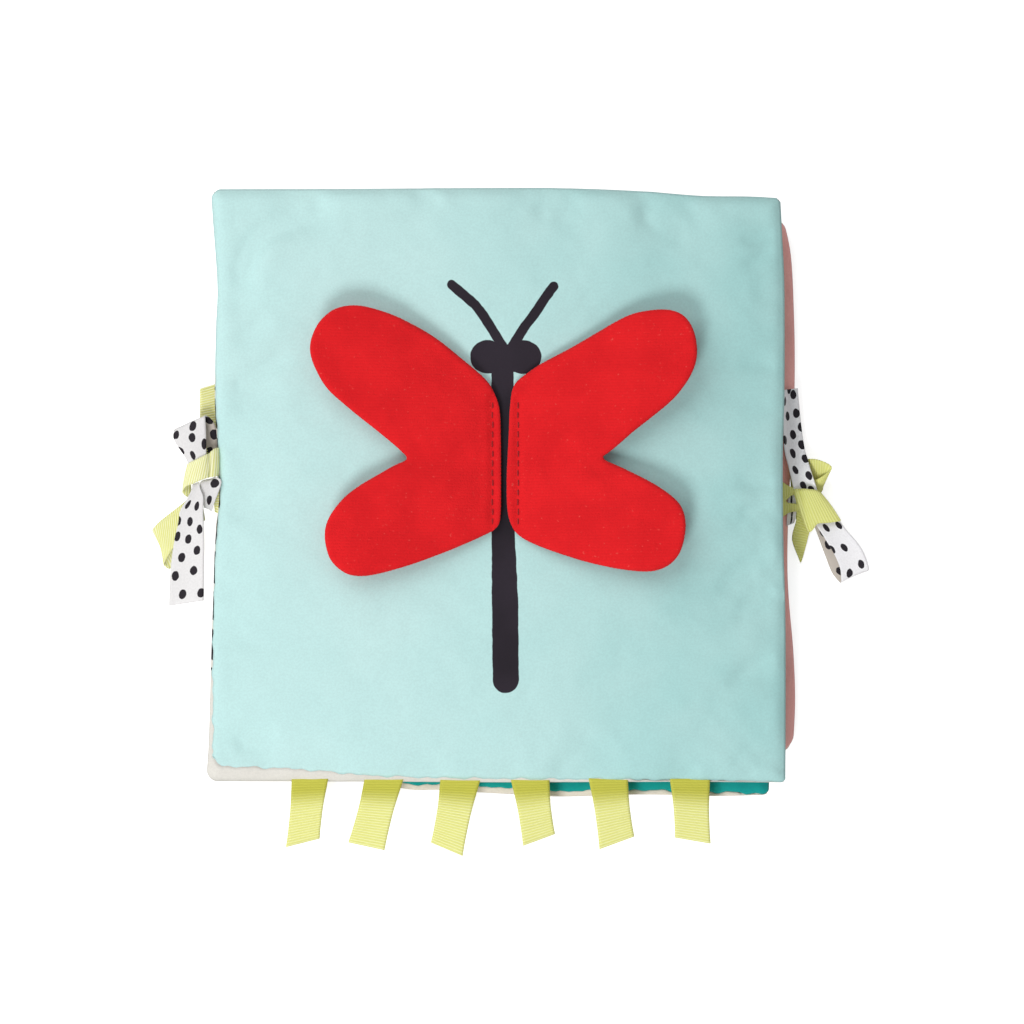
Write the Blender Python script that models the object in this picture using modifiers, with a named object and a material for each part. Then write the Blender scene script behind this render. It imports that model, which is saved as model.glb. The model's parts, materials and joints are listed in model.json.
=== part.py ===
"""Crinkle cloth book: three padded pages folded like a concertina, with plush wings, ribbon loops and ties.

Metres, +Z up. The closed book lies flat. The origin is on the flat underside of the back page, below the
middle of the front page. +Y points to the book's top edge and +X to the fold of the front page.
"""
import math

import bmesh
import bpy
from mathutils import Matrix, Vector

# Pages: a padded page is two cloths sewn at the rim, with wadding and a crackling film between them
PAGE_HEIGHT = 0.203
BACK_PAGE_HEIGHT = 0.188
STITCH_TO_STITCH = 0.1912
FRONT_FREE_REACH = 0.0028
BACK_FREE_REACH = 0.0059
PAGE_THICKNESS = 0.0084
PAGE_GAP = 0.0004
MIDDLE_PAGE_DROP = 0.0034
BACK_PAGE_RISE = 0.0037
FREE_EDGE_DRAW = 0.0028
END_EDGE_DRAW = 0.0005
CORNER_CUT = 0.0012
REST_FLAT_DEPTH = 0.0005
CLOTH_THICKNESS = 0.0008
FILM_THICKNESS = 0.0003
SEAM_GAP = 0.0003
LAYER_GAP = 0.0003

# Folds: a strip of cloth bows outwards between two stitched edges
FOLD_BULGE = 0.0026
FOLD_CLOTH_THICKNESS = 0.0008
FOLD_AXIS_CLEARANCE = 0.0002
FOLD_END_INSET = 0.002

# Wings: stuffed plush flaps with two round lobes, sewn down by a hem at their inner edge
WING_STITCH_SPAN = 0.0088
WING_PAIR_OFFSET = 0.0025
WING_ROOT_TOP = 0.0305
WING_ROOT_BOTTOM = -0.0150
WING_NOTCH_OUT = 0.0298
WING_NOTCH_UP = 0.0098
UPPER_LOBE_OUT = 0.0472
UPPER_LOBE_UP = 0.0452
UPPER_LOBE_RADIUS = 0.0154
LOWER_LOBE_OUT = 0.0446
LOWER_LOBE_UP = -0.0180
LOWER_LOBE_RADIUS = 0.0136
WING_LIFT_ANGLE = math.radians(8)
PLUSH_THICKNESS = 0.0008
WING_UPPER_CROWN = 0.0015
WING_LOWER_CROWN = 0.0005
WING_EDGE_ROLL = 0.0016
WING_SHOULDER = 0.0035
WING_SLOPE = 0.0060
WING_ROOT_CLEARANCE = 0.0008
WING_AXIS_HEIGHT = 0.0013
HEM_WIDTH = 0.0029
HEM_THICKNESS = 0.0020
HEM_CLEARANCE = 0.00015

# Ribbons: the loops in the bottom seam and the ties
RIBBON_THICKNESS = 0.0005
LEG_OFFSET = 0.00045
SEAT_GAP = 0.0003
TAG_WIDTH = 0.013
TAG_LENGTH = 0.0225
TAG_SWELL = 0.0006
TAG_AXIS_INSET = 0.0007

# Ties: two ribbons knotted into a small bow, on an anchor sewn into the seam
GREEN_WIDTH = 0.0095
DOTTED_WIDTH = 0.012
ANCHOR_WIDTH = 0.0046
KNOT_PINCH = 0.001
KNOT_LENGTH = DOTTED_WIDTH - KNOT_PINCH
KNOT_WIDTH = DOTTED_WIDTH - KNOT_PINCH
KNOT_BOTTOM = 0.0008
KNOT_TOP = 0.0041
KNOT_ROUND = 0.0013
TIE_AXIS_INSET = 0.001
ROOT_UNDER_KNOT = 0.0015
LOOP_KNOT_GAP = 0.00045
UNDER_DEPTH = 0.0037
UNDER_RUN = 0.0035
OVER_HEIGHT = 0.0028
OVER_START = 0.002
OVER_END = 0.0055
LEFT_KNOT_CLEARANCE = 0.0021
LEFT_KNOT_OUT = DOTTED_WIDTH / 2 + LEFT_KNOT_CLEARANCE
LEFT_KNOT_UP = 0.0035
RIGHT_KNOT_CLEARANCE = 0.0033
RIGHT_KNOT_OUT = DOTTED_WIDTH / 2 + RIGHT_KNOT_CLEARANCE
RIGHT_KNOT_UP = -0.0060
LEFT_DOTTED_LOOP = 0.015
LEFT_GREEN_LOOP = 0.022
LEFT_DOTTED_TAIL = 0.0395
LEFT_GREEN_TAIL = 0.027
RIGHT_DOTTED_LOOP = 0.025
RIGHT_GREEN_LOOP = 0.0125
RIGHT_DOTTED_TAIL = 0.035
RIGHT_GREEN_TAIL = 0.0165
FULL_SWELL = 0.0025
LOW_SWELL = 0.0022

# Angles
SHARP_EDGE_ANGLE = math.radians(50)
LEVEL_TAIL_TWIST = math.radians(-45)

# Counts of faces, and how many rings of faces an inner layer stays back from the rim
PAGE_CELLS = 12
FOLD_CELLS = 8
LOBE_STEPS = 8
LOOP_CELLS = 14
TAIL_CELLS = 10
TAIL_ROWS = 2
BEVEL_STEPS = 2
WADDING_RING = 1
FILM_RING = 2

# How far along a twisted tail its twist is full
TWIST_END_SHARE = 0.25
# Places along the bottom seam, as shares of half the stitch width, and each loop's lean in radians
TAG_PLACE_SHARES = (-0.678, -0.412, -0.137, 0.116, 0.397, 0.691)
TAG_LEANS = (-0.11, -0.26, -0.19, 0.15, 0.14, 0.05)
# How far the crown has risen at each ring of a wing, from the rim inwards
WING_CROWN_SHARES = (0.0, 0.6, 0.9, 1.0)

# Worked out
HALF_STITCH = STITCH_TO_STITCH / 2
RIM_HALF = SEAM_GAP / 2 + CLOTH_THICKNESS
PAGE_CROWN = PAGE_THICKNESS / 2 - RIM_HALF
PAGE_PITCH = PAGE_THICKNESS + PAGE_GAP
BACK_SEAM = PAGE_THICKNESS / 2
MIDDLE_SEAM = BACK_SEAM + PAGE_PITCH
FRONT_SEAM = MIDDLE_SEAM + PAGE_PITCH
FRONT_TOP = FRONT_SEAM + PAGE_THICKNESS / 2
FOLD_AXIS_X = HALF_STITCH + FOLD_BULGE + FOLD_AXIS_CLEARANCE
# Heights of the ribbons' roots under a knot, from the tie's seam
UNDER_LOOP_HEIGHT = KNOT_BOTTOM - LOOP_KNOT_GAP - RIBBON_THICKNESS / 2 - LEG_OFFSET
UNDER_TAIL_HEIGHT = UNDER_LOOP_HEIGHT - LEG_OFFSET - RIBBON_THICKNESS - SEAT_GAP
OVER_TAIL_HEIGHT = KNOT_BOTTOM - SEAT_GAP - RIBBON_THICKNESS / 2
OVER_LOOP_HEIGHT = OVER_TAIL_HEIGHT - RIBBON_THICKNESS - SEAT_GAP - LEG_OFFSET

COLOURS = {
    "aqua": (0.60, 0.80, 0.79),
    "white": (0.85, 0.84, 0.80),
    "teal": (0.00, 0.33, 0.30),
    "cream": (0.82, 0.80, 0.74),
    "pink": (0.78, 0.34, 0.32),
    "red": (0.70, 0.02, 0.02),
    "green": (0.66, 0.73, 0.16),
    "wadding": (0.90, 0.90, 0.90),
    "film": (0.80, 0.82, 0.85),
}


def clear_scene():
    for obj in list(bpy.data.objects):
        bpy.data.objects.remove(obj)


def make_material(name, colour, roughness):
    material = bpy.data.materials.new(name)
    material.use_nodes = True
    shader = material.node_tree.nodes["Principled BSDF"]
    shader.inputs["Base Color"].default_value = (*COLOURS[colour], 1)
    shader.inputs["Roughness"].default_value = roughness
    shader.inputs["Metallic"].default_value = 0
    return material


class Pivot:
    """An empty on a joint's axis, which carries the pieces that turn about it."""

    def __init__(self, name, place, parent=None, tilt=0):
        self.place = Vector(place)
        self.empty = bpy.data.objects.new(name, None)
        book.objects.link(self.empty)
        self.empty.parent = parent.empty if parent else None
        self.empty.location = self.place - (parent.place if parent else Vector())
        self.empty.rotation_euler = (0, tilt, 0)


def add_piece(name, bm, pivot, colour, roughness=0.9, local=False):
    """Make an object of a bmesh that is in world places, or in the pivot's own if local."""
    if not local:
        bmesh.ops.translate(bm, verts=bm.verts, vec=-pivot.place)
    bmesh.ops.recalc_face_normals(bm, faces=bm.faces)
    mesh = bpy.data.meshes.new(name)
    bm.to_mesh(mesh)
    bm.free()
    mesh.shade_smooth()
    mesh.set_sharp_from_angle(angle=SHARP_EDGE_ANGLE)
    mesh.materials.append(make_material(name, colour, roughness))
    obj = bpy.data.objects.new(name, mesh)
    book.objects.link(obj)
    obj.parent = pivot.empty
    return obj


def solidify(obj, thickness):
    layer = obj.modifiers.new("Thickness", "SOLIDIFY")
    layer.thickness = thickness
    layer.offset = 0
    layer.use_even_offset = True


def closed_slab(bm):
    """Turn flat faces into a slab one unit thick, whose two sides have the same triangles."""
    bmesh.ops.triangulate(bm, faces=bm.faces, quad_method="FIXED")
    made = bmesh.ops.extrude_face_region(bm, geom=bm.faces)
    raised = [item for item in made["geom"] if isinstance(item, bmesh.types.BMVert)]
    bmesh.ops.translate(bm, verts=raised, vec=(0, 0, 1))
    return set(raised)


# Pages


class Page:
    """A page's outline and seam height, and how its free edges are drawn in."""

    def __init__(self, left, right, middle_y, height, seam, free_side, rests=False):
        self.middle = ((left + right) / 2, middle_y)
        self.half = ((right - left) / 2, height / 2)
        self.seam = seam
        self.free_side = free_side
        self.rests = rests

    def place(self, u, v):
        """The point at shares u and v of the half sizes."""
        side = math.copysign(1, u)
        draw = FREE_EDGE_DRAW if side == self.free_side else 0
        x = u * self.half[0] - side * draw * (1 - v * v) * u * u
        y = v * self.half[1] - math.copysign(END_EDGE_DRAW, v) * (1 - u * u) * v * v
        if abs(u) == 1 and abs(v) == 1 and side == self.free_side:
            x -= math.copysign(CORNER_CUT, u)
            y -= math.copysign(CORNER_CUT, v)
        return self.middle[0] + x, self.middle[1] + y

    def edge_x(self, y):
        """Where the free edge lies at a height y."""
        return self.place(self.free_side, (y - self.middle[1]) / self.half[1])[0]

    def bottom_y(self, x):
        """Where the bottom edge lies at x."""
        return self.place((x - self.middle[0]) / self.half[0], -1)[1]

    def rise(self, share, upper):
        """How far the crown stands above the rim. The side that the book rests on is pressed flat."""
        if upper or not self.rests:
            return share * PAGE_CROWN
        return min(share * (PAGE_CROWN + REST_FLAT_DEPTH), PAGE_CROWN)


def crown_share(u, v):
    return math.sqrt((1 - u**4) * (1 - v**4))


def edge_crowded(step):
    """A grid line's place, -1 to 1, with the lines closer together near the edges."""
    if step in (0, PAGE_CELLS):
        return math.copysign(1, step - PAGE_CELLS / 2)
    return math.sin(math.pi / 2 * (2 * step / PAGE_CELLS - 1))


def page_layer(page, name, pivot, colour, first_ring, upper_height, lower_height):
    """One layer of a page: both heights are functions of the crown's share and the ring from the rim."""
    cells = PAGE_CELLS - 2 * first_ring
    bm = bmesh.new()
    bmesh.ops.create_grid(bm, x_segments=cells, y_segments=cells, size=cells / 2)
    raised = closed_slab(bm)
    for vert in bm.verts:
        column = round(vert.co.x + cells / 2) + first_ring
        row = round(vert.co.y + cells / 2) + first_ring
        ring = min(column, PAGE_CELLS - column, row, PAGE_CELLS - row)
        u, v = edge_crowded(column), edge_crowded(row)
        height = upper_height if vert in raised else lower_height
        vert.co = (*page.place(u, v), page.seam + height(crown_share(u, v), ring))
    return add_piece(name, bm, pivot, colour)


def make_page(page, name, pivot, top_colour, reverse_colour):
    def upper_inside(share, ring):
        return SEAM_GAP / 2 + page.rise(share, True)

    def lower_inside(share, ring):
        return -SEAM_GAP / 2 - page.rise(share, False)

    def film_top(share, ring):
        return upper_inside(share, ring) - LAYER_GAP

    def film_bottom(share, ring):
        return film_top(share, ring) - FILM_THICKNESS

    def wadding_top(share, ring):
        return film_top(share, ring) if ring < FILM_RING else film_bottom(share, ring) - LAYER_GAP

    def wadding_bottom(share, ring):
        return lower_inside(share, ring) + LAYER_GAP

    page_layer(
        page, name + "_top_cloth", pivot, top_colour, 0,
        lambda share, ring: upper_inside(share, ring) + CLOTH_THICKNESS, upper_inside,
    )
    page_layer(
        page, name + "_reverse_cloth", pivot, reverse_colour, 0,
        lower_inside, lambda share, ring: lower_inside(share, ring) - CLOTH_THICKNESS,
    )
    page_layer(page, name + "_wadding", pivot, "wadding", WADDING_RING, wadding_top, wadding_bottom)
    page_layer(page, name + "_crinkle_film", pivot, "film", FILM_RING, film_top, film_bottom)


def make_fold(name, pivot, side, upper_page, lower_page, colour):
    """The strip that joins two pages' rims, bowed outwards between their seams."""
    low_y = max(p.middle[1] - p.half[1] for p in (upper_page, lower_page)) + FOLD_END_INSET
    high_y = min(p.middle[1] + p.half[1] for p in (upper_page, lower_page)) - FOLD_END_INSET
    half_drop = (upper_page.seam - lower_page.seam) / 2
    middle_z = (upper_page.seam + lower_page.seam) / 2
    bow = FOLD_BULGE - LAYER_GAP - FOLD_CLOTH_THICKNESS / 2
    bm = bmesh.new()
    bmesh.ops.create_grid(bm, x_segments=FOLD_CELLS, y_segments=1, size=1)
    for vert in bm.verts:
        turn = math.pi * (vert.co.x + 1) / 2
        x = side * (HALF_STITCH + LAYER_GAP + bow * math.sin(turn))
        y = high_y if vert.co.y > 0 else low_y
        vert.co = (x, y, middle_z + half_drop * math.cos(turn))
    solidify(add_piece(name, bm, pivot, colour), FOLD_CLOTH_THICKNESS)


# Wings


def tangent_angle(point, centre, radius, turn):
    """The angle on a circle where the line from a point touches it, on the side that turn names."""
    away = Vector(point) - Vector(centre)
    return math.atan2(away.y, away.x) + turn * math.acos(radius / away.length)


def lobe(centre, radius, before, after):
    """The points of a round lobe between the tangents from the points before and after it."""
    start = tangent_angle(before, centre, radius, 1)
    end = tangent_angle(after, centre, radius, -1)
    sweep = (end - start) % (2 * math.pi)
    angles = [start + sweep * step / LOBE_STEPS for step in range(LOBE_STEPS + 1)]
    return [(centre[0] + radius * math.cos(a), centre[1] + radius * math.sin(a)) for a in angles]


def wing_outline():
    """The outline from the root's bottom corner, round both lobes, in the wing's own plane."""
    bottom = (WING_ROOT_CLEARANCE, WING_ROOT_BOTTOM)
    notch = (WING_NOTCH_OUT, WING_NOTCH_UP)
    top = (WING_ROOT_CLEARANCE, WING_ROOT_TOP)
    lower = lobe((LOWER_LOBE_OUT, LOWER_LOBE_UP), LOWER_LOBE_RADIUS, bottom, notch)
    upper = lobe((UPPER_LOBE_OUT, UPPER_LOBE_UP), UPPER_LOBE_RADIUS, notch, top)
    return [bottom, *lower, notch, *upper, top]


def wing_layer(name, pivot, side, colour, first_ring, upper_height, lower_height):
    """One layer of a wing: rings follow the outline inwards, and each ring has its crown's share."""
    bm = bmesh.new()
    crown = bm.verts.layers.float.new("crown")
    corners = [bm.verts.new((side * out, up, 0)) for out, up in wing_outline()]
    face = bm.faces.new(corners)
    bmesh.ops.recalc_face_normals(bm, faces=[face])
    outer_faces = []
    insets = (WING_EDGE_ROLL, WING_SHOULDER, WING_SLOPE)
    for ring, inset in enumerate(insets, 1):
        made = bmesh.ops.inset_region(bm, faces=[face], thickness=inset, use_boundary=True)
        for vert in face.verts:
            vert[crown] = WING_CROWN_SHARES[ring]
        if ring <= first_ring:
            outer_faces += made["faces"]
    bmesh.ops.delete(bm, geom=outer_faces, context="FACES")
    raised = closed_slab(bm)
    for vert in bm.verts:
        vert.co.z = upper_height(vert[crown]) if vert in raised else lower_height(vert[crown])
    return add_piece(name, bm, pivot, colour, local=True)


def make_wing(name, side, stitch_x, front_pivot):
    axis_x = stitch_x + side * HEM_CLEARANCE
    axis_z = FRONT_TOP + SEAT_GAP + WING_AXIS_HEIGHT
    pivot = Pivot(name + "_axis", (axis_x, 0, axis_z), front_pivot, -side * WING_LIFT_ANGLE)

    def upper_inside(share):
        return SEAM_GAP / 2 + share * WING_UPPER_CROWN

    def lower_inside(share):
        return -SEAM_GAP / 2 - share * WING_LOWER_CROWN

    wing_layer(
        name + "_front", pivot, side, "red", 0,
        lambda share: upper_inside(share) + PLUSH_THICKNESS, upper_inside,
    )
    wing_layer(
        name + "_back", pivot, side, "red", 0,
        lower_inside, lambda share: lower_inside(share) - PLUSH_THICKNESS,
    )
    wing_layer(
        name + "_wadding", pivot, side, "wadding", WADDING_RING,
        lambda share: upper_inside(share) - LAYER_GAP, lambda share: lower_inside(share) + LAYER_GAP,
    )

    hem = bmesh.new()
    bmesh.ops.create_cube(hem, size=1)
    size = (HEM_WIDTH, WING_ROOT_TOP - WING_ROOT_BOTTOM, HEM_THICKNESS)
    middle_x = stitch_x - side * HEM_WIDTH / 2
    middle_y = (WING_ROOT_TOP + WING_ROOT_BOTTOM) / 2
    middle_z = FRONT_TOP + SEAT_GAP + HEM_THICKNESS / 2
    bmesh.ops.scale(hem, verts=hem.verts, vec=size)
    bmesh.ops.translate(hem, verts=hem.verts, vec=(middle_x, middle_y, middle_z))
    add_piece(name + "_hem", hem, front_pivot, "red")


# Ribbons


def ribbon(name, pivot, path, width, colour, cells, across, rows=1):
    """A strip of ribbon along a path: path(t) is its middle and across(t) its width's direction, t 0 to 1."""
    bm = bmesh.new()
    bmesh.ops.create_grid(bm, x_segments=cells, y_segments=rows, size=1)
    for vert in bm.verts:
        t = (vert.co.x + 1) / 2
        vert.co = path(t) + across(t) * (width / 2) * vert.co.y
    solidify(add_piece(name, bm, pivot, colour, 0.7), RIBBON_THICKNESS)


def make_loop(name, pivot, root, heading, length, width, swell, colour, across=None):
    """A folded ribbon: out along its heading and back above itself, fullest past the middle."""
    along = Vector((math.cos(heading), math.sin(heading), 0))
    sideways = across or Vector((-along.y, along.x, 0))
    peak = math.sin(math.pi / 3) * (1 + math.cos(math.pi / 3))

    def path(t):
        turn = math.pi * (2 * t - 1)
        out = length * (1 + math.cos(turn)) / 2
        lift = swell * math.sin(turn) * (1 + math.cos(turn)) / peak
        return root + along * out + Vector((0, 0, lift + LEG_OFFSET * turn / math.pi))

    ribbon(name, pivot, path, width, colour, LOOP_CELLS, lambda t: sideways)


def make_tail(name, pivot, root, heading, length, width, colour, height, twist=0):
    """A loose ribbon end: height(s) is its rise above the root, s metres out, and it twists as it goes."""
    along = Vector((math.cos(heading), math.sin(heading), 0))
    sideways = Vector((-along.y, along.x, 0))

    def path(t):
        out = length * t
        return root + along * out + Vector((0, 0, height(out)))

    def across(t):
        return Matrix.Rotation(twist * min(t / TWIST_END_SHARE, 1), 3, along) @ sideways

    ribbon(name, pivot, path, width, colour, TAIL_CELLS, across, TAIL_ROWS)


def make_tags(front_page, front_pivot):
    """Six ribbon loops in the bottom seam, each leaning its own way."""
    for number, (share, lean) in enumerate(zip(TAG_PLACE_SHARES, TAG_LEANS), 1):
        x = share * HALF_STITCH
        root_y = front_page.bottom_y(x) - SEAT_GAP
        pivot = Pivot(f"tag_{number}_axis", (x, root_y - TAG_AXIS_INSET, front_page.seam), front_pivot)
        root = Vector((x, root_y, front_page.seam))
        heading = -math.pi / 2 + lean
        make_loop(
            f"tag_{number}", pivot, root, heading, TAG_LENGTH, TAG_WIDTH, TAG_SWELL, "green",
            across=Vector((1, 0, 0)),
        )


def under(out):
    """A tail that drops from beneath a loop and runs on below it."""
    return -(UNDER_DEPTH + UNDER_TAIL_HEIGHT) * min(out / UNDER_RUN, 1)


def over(out):
    """A tail that clears the knot, then rises above the loop below it."""
    share = min(max((out - OVER_START) / (OVER_END - OVER_START), 0), 1)
    return (OVER_HEIGHT - OVER_TAIL_HEIGHT) * share


def level(out):
    return 0


def make_tie(name, page, parent, knot_out, knot_up, ribbons):
    """A bow on a page's free edge: an anchor, a knot, and a loop and a tail of each ribbon."""
    side = page.free_side
    edge = page.edge_x(knot_up)
    axis_x = edge + side * (SEAT_GAP + TIE_AXIS_INSET)
    pivot = Pivot(name + "_axis", (axis_x, knot_up, page.seam), parent)
    knot = Vector((edge + side * knot_out, knot_up, page.seam))

    block = bmesh.new()
    bmesh.ops.create_cube(block, size=1)
    bmesh.ops.scale(block, verts=block.verts, vec=(KNOT_LENGTH, KNOT_WIDTH, KNOT_TOP - KNOT_BOTTOM))
    bmesh.ops.translate(block, verts=block.verts, vec=knot + Vector((0, 0, (KNOT_TOP + KNOT_BOTTOM) / 2)))
    knot_piece = add_piece(name + "_knot", block, pivot, "green", 0.7)
    bevel = knot_piece.modifiers.new("Rounding", "BEVEL")
    bevel.width = KNOT_ROUND
    bevel.segments = BEVEL_STEPS

    start = Vector((edge + side * SEAT_GAP, knot_up, page.seam))
    end_x = knot.x - side * (KNOT_LENGTH / 2 - ROOT_UNDER_KNOT)
    run = Vector((end_x - start.x, 0, OVER_TAIL_HEIGHT))
    ribbon(
        name + "_anchor", pivot, lambda t: start + run * t, ANCHOR_WIDTH, "green", 1,
        lambda t: Vector((0, 1, 0)),
    )

    for piece, kind, seat_degrees, degrees, length, width, colour, place in ribbons:
        heading = math.radians(degrees)
        seat = math.radians(seat_degrees)
        reach = KNOT_WIDTH / 2 - ROOT_UNDER_KNOT
        root = knot + reach * Vector((math.cos(seat), math.sin(seat), 0))
        if kind == "loop":
            root.z += UNDER_LOOP_HEIGHT if place == "high" else OVER_LOOP_HEIGHT
            swell = FULL_SWELL if place == "high" else LOW_SWELL
            make_loop(f"{name}_{piece}", pivot, root, heading, length, width, swell, colour)
        elif place == "under":
            root.z += UNDER_TAIL_HEIGHT
            make_tail(f"{name}_{piece}", pivot, root, heading, length, width, colour, under)
        elif place == "over":
            root.z += OVER_TAIL_HEIGHT
            make_tail(f"{name}_{piece}", pivot, root, heading, length, width, colour, over)
        else:
            root.z += OVER_TAIL_HEIGHT
            make_tail(f"{name}_{piece}", pivot, root, heading, length, width, colour, level, LEVEL_TAIL_TWIST)


clear_scene()
book = bpy.data.collections.new("crinkle_cloth_book")
bpy.context.scene.collection.children.link(book)

back_page = Page(
    -HALF_STITCH, HALF_STITCH + BACK_FREE_REACH, BACK_PAGE_RISE, BACK_PAGE_HEIGHT, BACK_SEAM, 1, True
)
middle_page = Page(-HALF_STITCH, HALF_STITCH, -MIDDLE_PAGE_DROP, PAGE_HEIGHT, MIDDLE_SEAM, 0)
front_page = Page(-HALF_STITCH - FRONT_FREE_REACH, HALF_STITCH, 0, PAGE_HEIGHT, FRONT_SEAM, -1)

back = Pivot("back_panel", (0, 0, 0))
middle = Pivot("middle_panel_axis", (-FOLD_AXIS_X, 0, (BACK_SEAM + MIDDLE_SEAM) / 2), back)
front = Pivot("front_panel_axis", (FOLD_AXIS_X, 0, (MIDDLE_SEAM + FRONT_SEAM) / 2), middle)

make_page(back_page, "back", back, "pink", "cream")
make_page(middle_page, "middle", middle, "teal", "cream")
make_page(front_page, "front", front, "aqua", "white")
make_fold("fold_left_cloth", back, -1, middle_page, back_page, "cream")
make_fold("fold_right_cloth", middle, 1, front_page, middle_page, "aqua")

for wing_name, wing_side in (("left_wing", -1), ("right_wing", 1)):
    make_wing(wing_name, wing_side, WING_PAIR_OFFSET + wing_side * WING_STITCH_SPAN / 2, front)

make_tags(front_page, front)

# Each ribbon of a tie: its piece and kind, the degrees round the knot to its root, the degrees that it
# heads, its length, width and colour, and where it lies
make_tie(
    "left_tie", front_page, front, LEFT_KNOT_OUT, LEFT_KNOT_UP,
    (
        ("dotted_loop", "loop", 95, 95, LEFT_DOTTED_LOOP, DOTTED_WIDTH, "white", "high"),
        ("green_tail", "tail", 83, 83, LEFT_GREEN_TAIL, GREEN_WIDTH, "green", "under"),
        ("dotted_tail", "tail", -95, -95, LEFT_DOTTED_TAIL, DOTTED_WIDTH, "white", "over"),
        ("green_loop", "loop", -121, -121, LEFT_GREEN_LOOP, GREEN_WIDTH, "green", "low"),
    ),
)
make_tie(
    "right_tie", back_page, back, RIGHT_KNOT_OUT, RIGHT_KNOT_UP,
    (
        ("dotted_tail", "tail", 120, 98, RIGHT_DOTTED_TAIL, DOTTED_WIDTH, "white", "level"),
        ("green_loop", "loop", 47, 32, RIGHT_GREEN_LOOP, GREEN_WIDTH, "green", "low"),
        ("dotted_loop", "loop", -90, -60, RIGHT_DOTTED_LOOP, DOTTED_WIDTH, "white", "high"),
        ("green_tail", "tail", -95, -95, RIGHT_GREEN_TAIL, GREEN_WIDTH, "green", "under"),
    ),
)
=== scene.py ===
"""The looks of the crinkle cloth book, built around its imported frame. Metres, +Z up, as in the frame."""
import json
import math

import bpy
import numpy as np
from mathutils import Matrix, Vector
from mathutils.geometry import delaunay_2d_cdt


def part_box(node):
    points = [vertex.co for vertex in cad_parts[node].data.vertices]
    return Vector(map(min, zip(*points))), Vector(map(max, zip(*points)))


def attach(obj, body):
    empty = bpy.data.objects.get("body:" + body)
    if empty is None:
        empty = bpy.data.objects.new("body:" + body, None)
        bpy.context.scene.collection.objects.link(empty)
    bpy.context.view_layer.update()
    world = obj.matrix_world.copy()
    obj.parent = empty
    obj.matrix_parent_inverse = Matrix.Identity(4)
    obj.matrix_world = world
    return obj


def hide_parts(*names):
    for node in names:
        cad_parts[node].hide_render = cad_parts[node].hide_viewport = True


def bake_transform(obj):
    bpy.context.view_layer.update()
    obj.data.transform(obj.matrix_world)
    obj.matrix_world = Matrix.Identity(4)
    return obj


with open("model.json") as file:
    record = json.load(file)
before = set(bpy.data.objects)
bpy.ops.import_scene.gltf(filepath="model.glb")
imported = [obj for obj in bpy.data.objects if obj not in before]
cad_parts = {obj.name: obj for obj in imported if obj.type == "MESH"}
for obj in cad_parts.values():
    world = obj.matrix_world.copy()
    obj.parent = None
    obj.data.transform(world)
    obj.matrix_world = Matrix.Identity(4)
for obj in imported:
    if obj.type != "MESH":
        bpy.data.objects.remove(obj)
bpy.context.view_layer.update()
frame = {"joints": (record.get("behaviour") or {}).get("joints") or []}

# Camera: the photograph is taken from almost straight above, and its frame is square
PHOTO_PIXELS = 1024
FRAME_WIDTH = 0.352
CAMERA_DISTANCE = 1.1
CAMERA_ELEVATION = math.radians(84.5)
CAMERA_TARGET = Vector((0.0048, -0.0089, 0.026))
SENSOR_WIDTH = 36

# Light
FLOOR_SIZE = 4
KEY_PLACE = (-0.3, -0.75, 0.9)
KEY_SIZE = 0.4
KEY_POWER = 7.2
FILL_PLACE = (-0.5, 0.45, 0.7)
FILL_SIZE = 1.1
FILL_POWER = 4.8
SKY_STRENGTH = 0.38
FLOOR_COLOUR = 0.8
FLOOR_GLOW = 0.68

# Colours, as they look in the photograph
AQUA = "bfe3e1"
# Painted shade: the aqua darkens to this towards the cover's right, where less light falls
AQUA_PAINTED_SHADE = "a6d4d2"
INK = "201a22"
PRINT_WHITE = "dbd8d0"
TEAL = "009b96"
CREAM = "e6ddd0"
PINK = "ffb7b0"
RED = "e91c22"
RED_LIGHT = "ec4a44"
THREAD = "8e1218"
GREEN_PALE = "f2f2b4"
# Painted shade in the valleys between a green ribbon's ribs:
GREEN = "dfdf7c"
# Painted shade on a green ribbon near the start of its length, as on the tags by the seam:
GREEN_PAINTED_SHADE = "c4c24a"
# The ties' whites are one ribbon: the left is painted shade against the stronger light at the left, the
# right painted light where the book shades it
LEFT_RIBBON_WHITE_PAINTED_SHADE = "e2e0e0"
RIGHT_RIBBON_WHITE_PAINTED_LIGHT = "f8f6f9"
RIBBON_INSIDE_SHADE = "d2c8be"
# Painted shade inside a ribbon's loop:
WADDING = "f2f2f0"
FILM = "dfe6ea"

# Cloth
CLOTH_THICKNESS = 0.0004
RIBBON_THICKNESS = 0.0003
PAGE_CELL = 0.004
FINE_SHARE = 3
PAGE_CROWN = 0.0039
EDGE_REACH = 0.006
EDGE_POWER = 0.62
LEAST_CROWN = 0.0016
LEAST_CROWN_REACH = 0.008
CREASE_LIMIT = 0.45
CREASE_FADE = 0.004
SIDE_POINTS = 201


def linear(code):
    """A colour written as on a screen, in the shader's own linear values."""
    values = [int(code[i:i + 2], 16) / 255 for i in (0, 2, 4)]
    return tuple(v / 12.92 if v <= 0.04045 else ((v + 0.055) / 1.055) ** 2.4 for v in values)


# The camera, and points that the photograph shows

TO_CAMERA = Vector((0, -math.cos(CAMERA_ELEVATION), math.sin(CAMERA_ELEVATION)))
CAMERA_PLACE = CAMERA_TARGET + CAMERA_DISTANCE * TO_CAMERA
CAMERA_UP = Vector((0, math.sin(CAMERA_ELEVATION), math.cos(CAMERA_ELEVATION)))
HALF_VIEW = FRAME_WIDTH / 2 / CAMERA_DISTANCE


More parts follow.
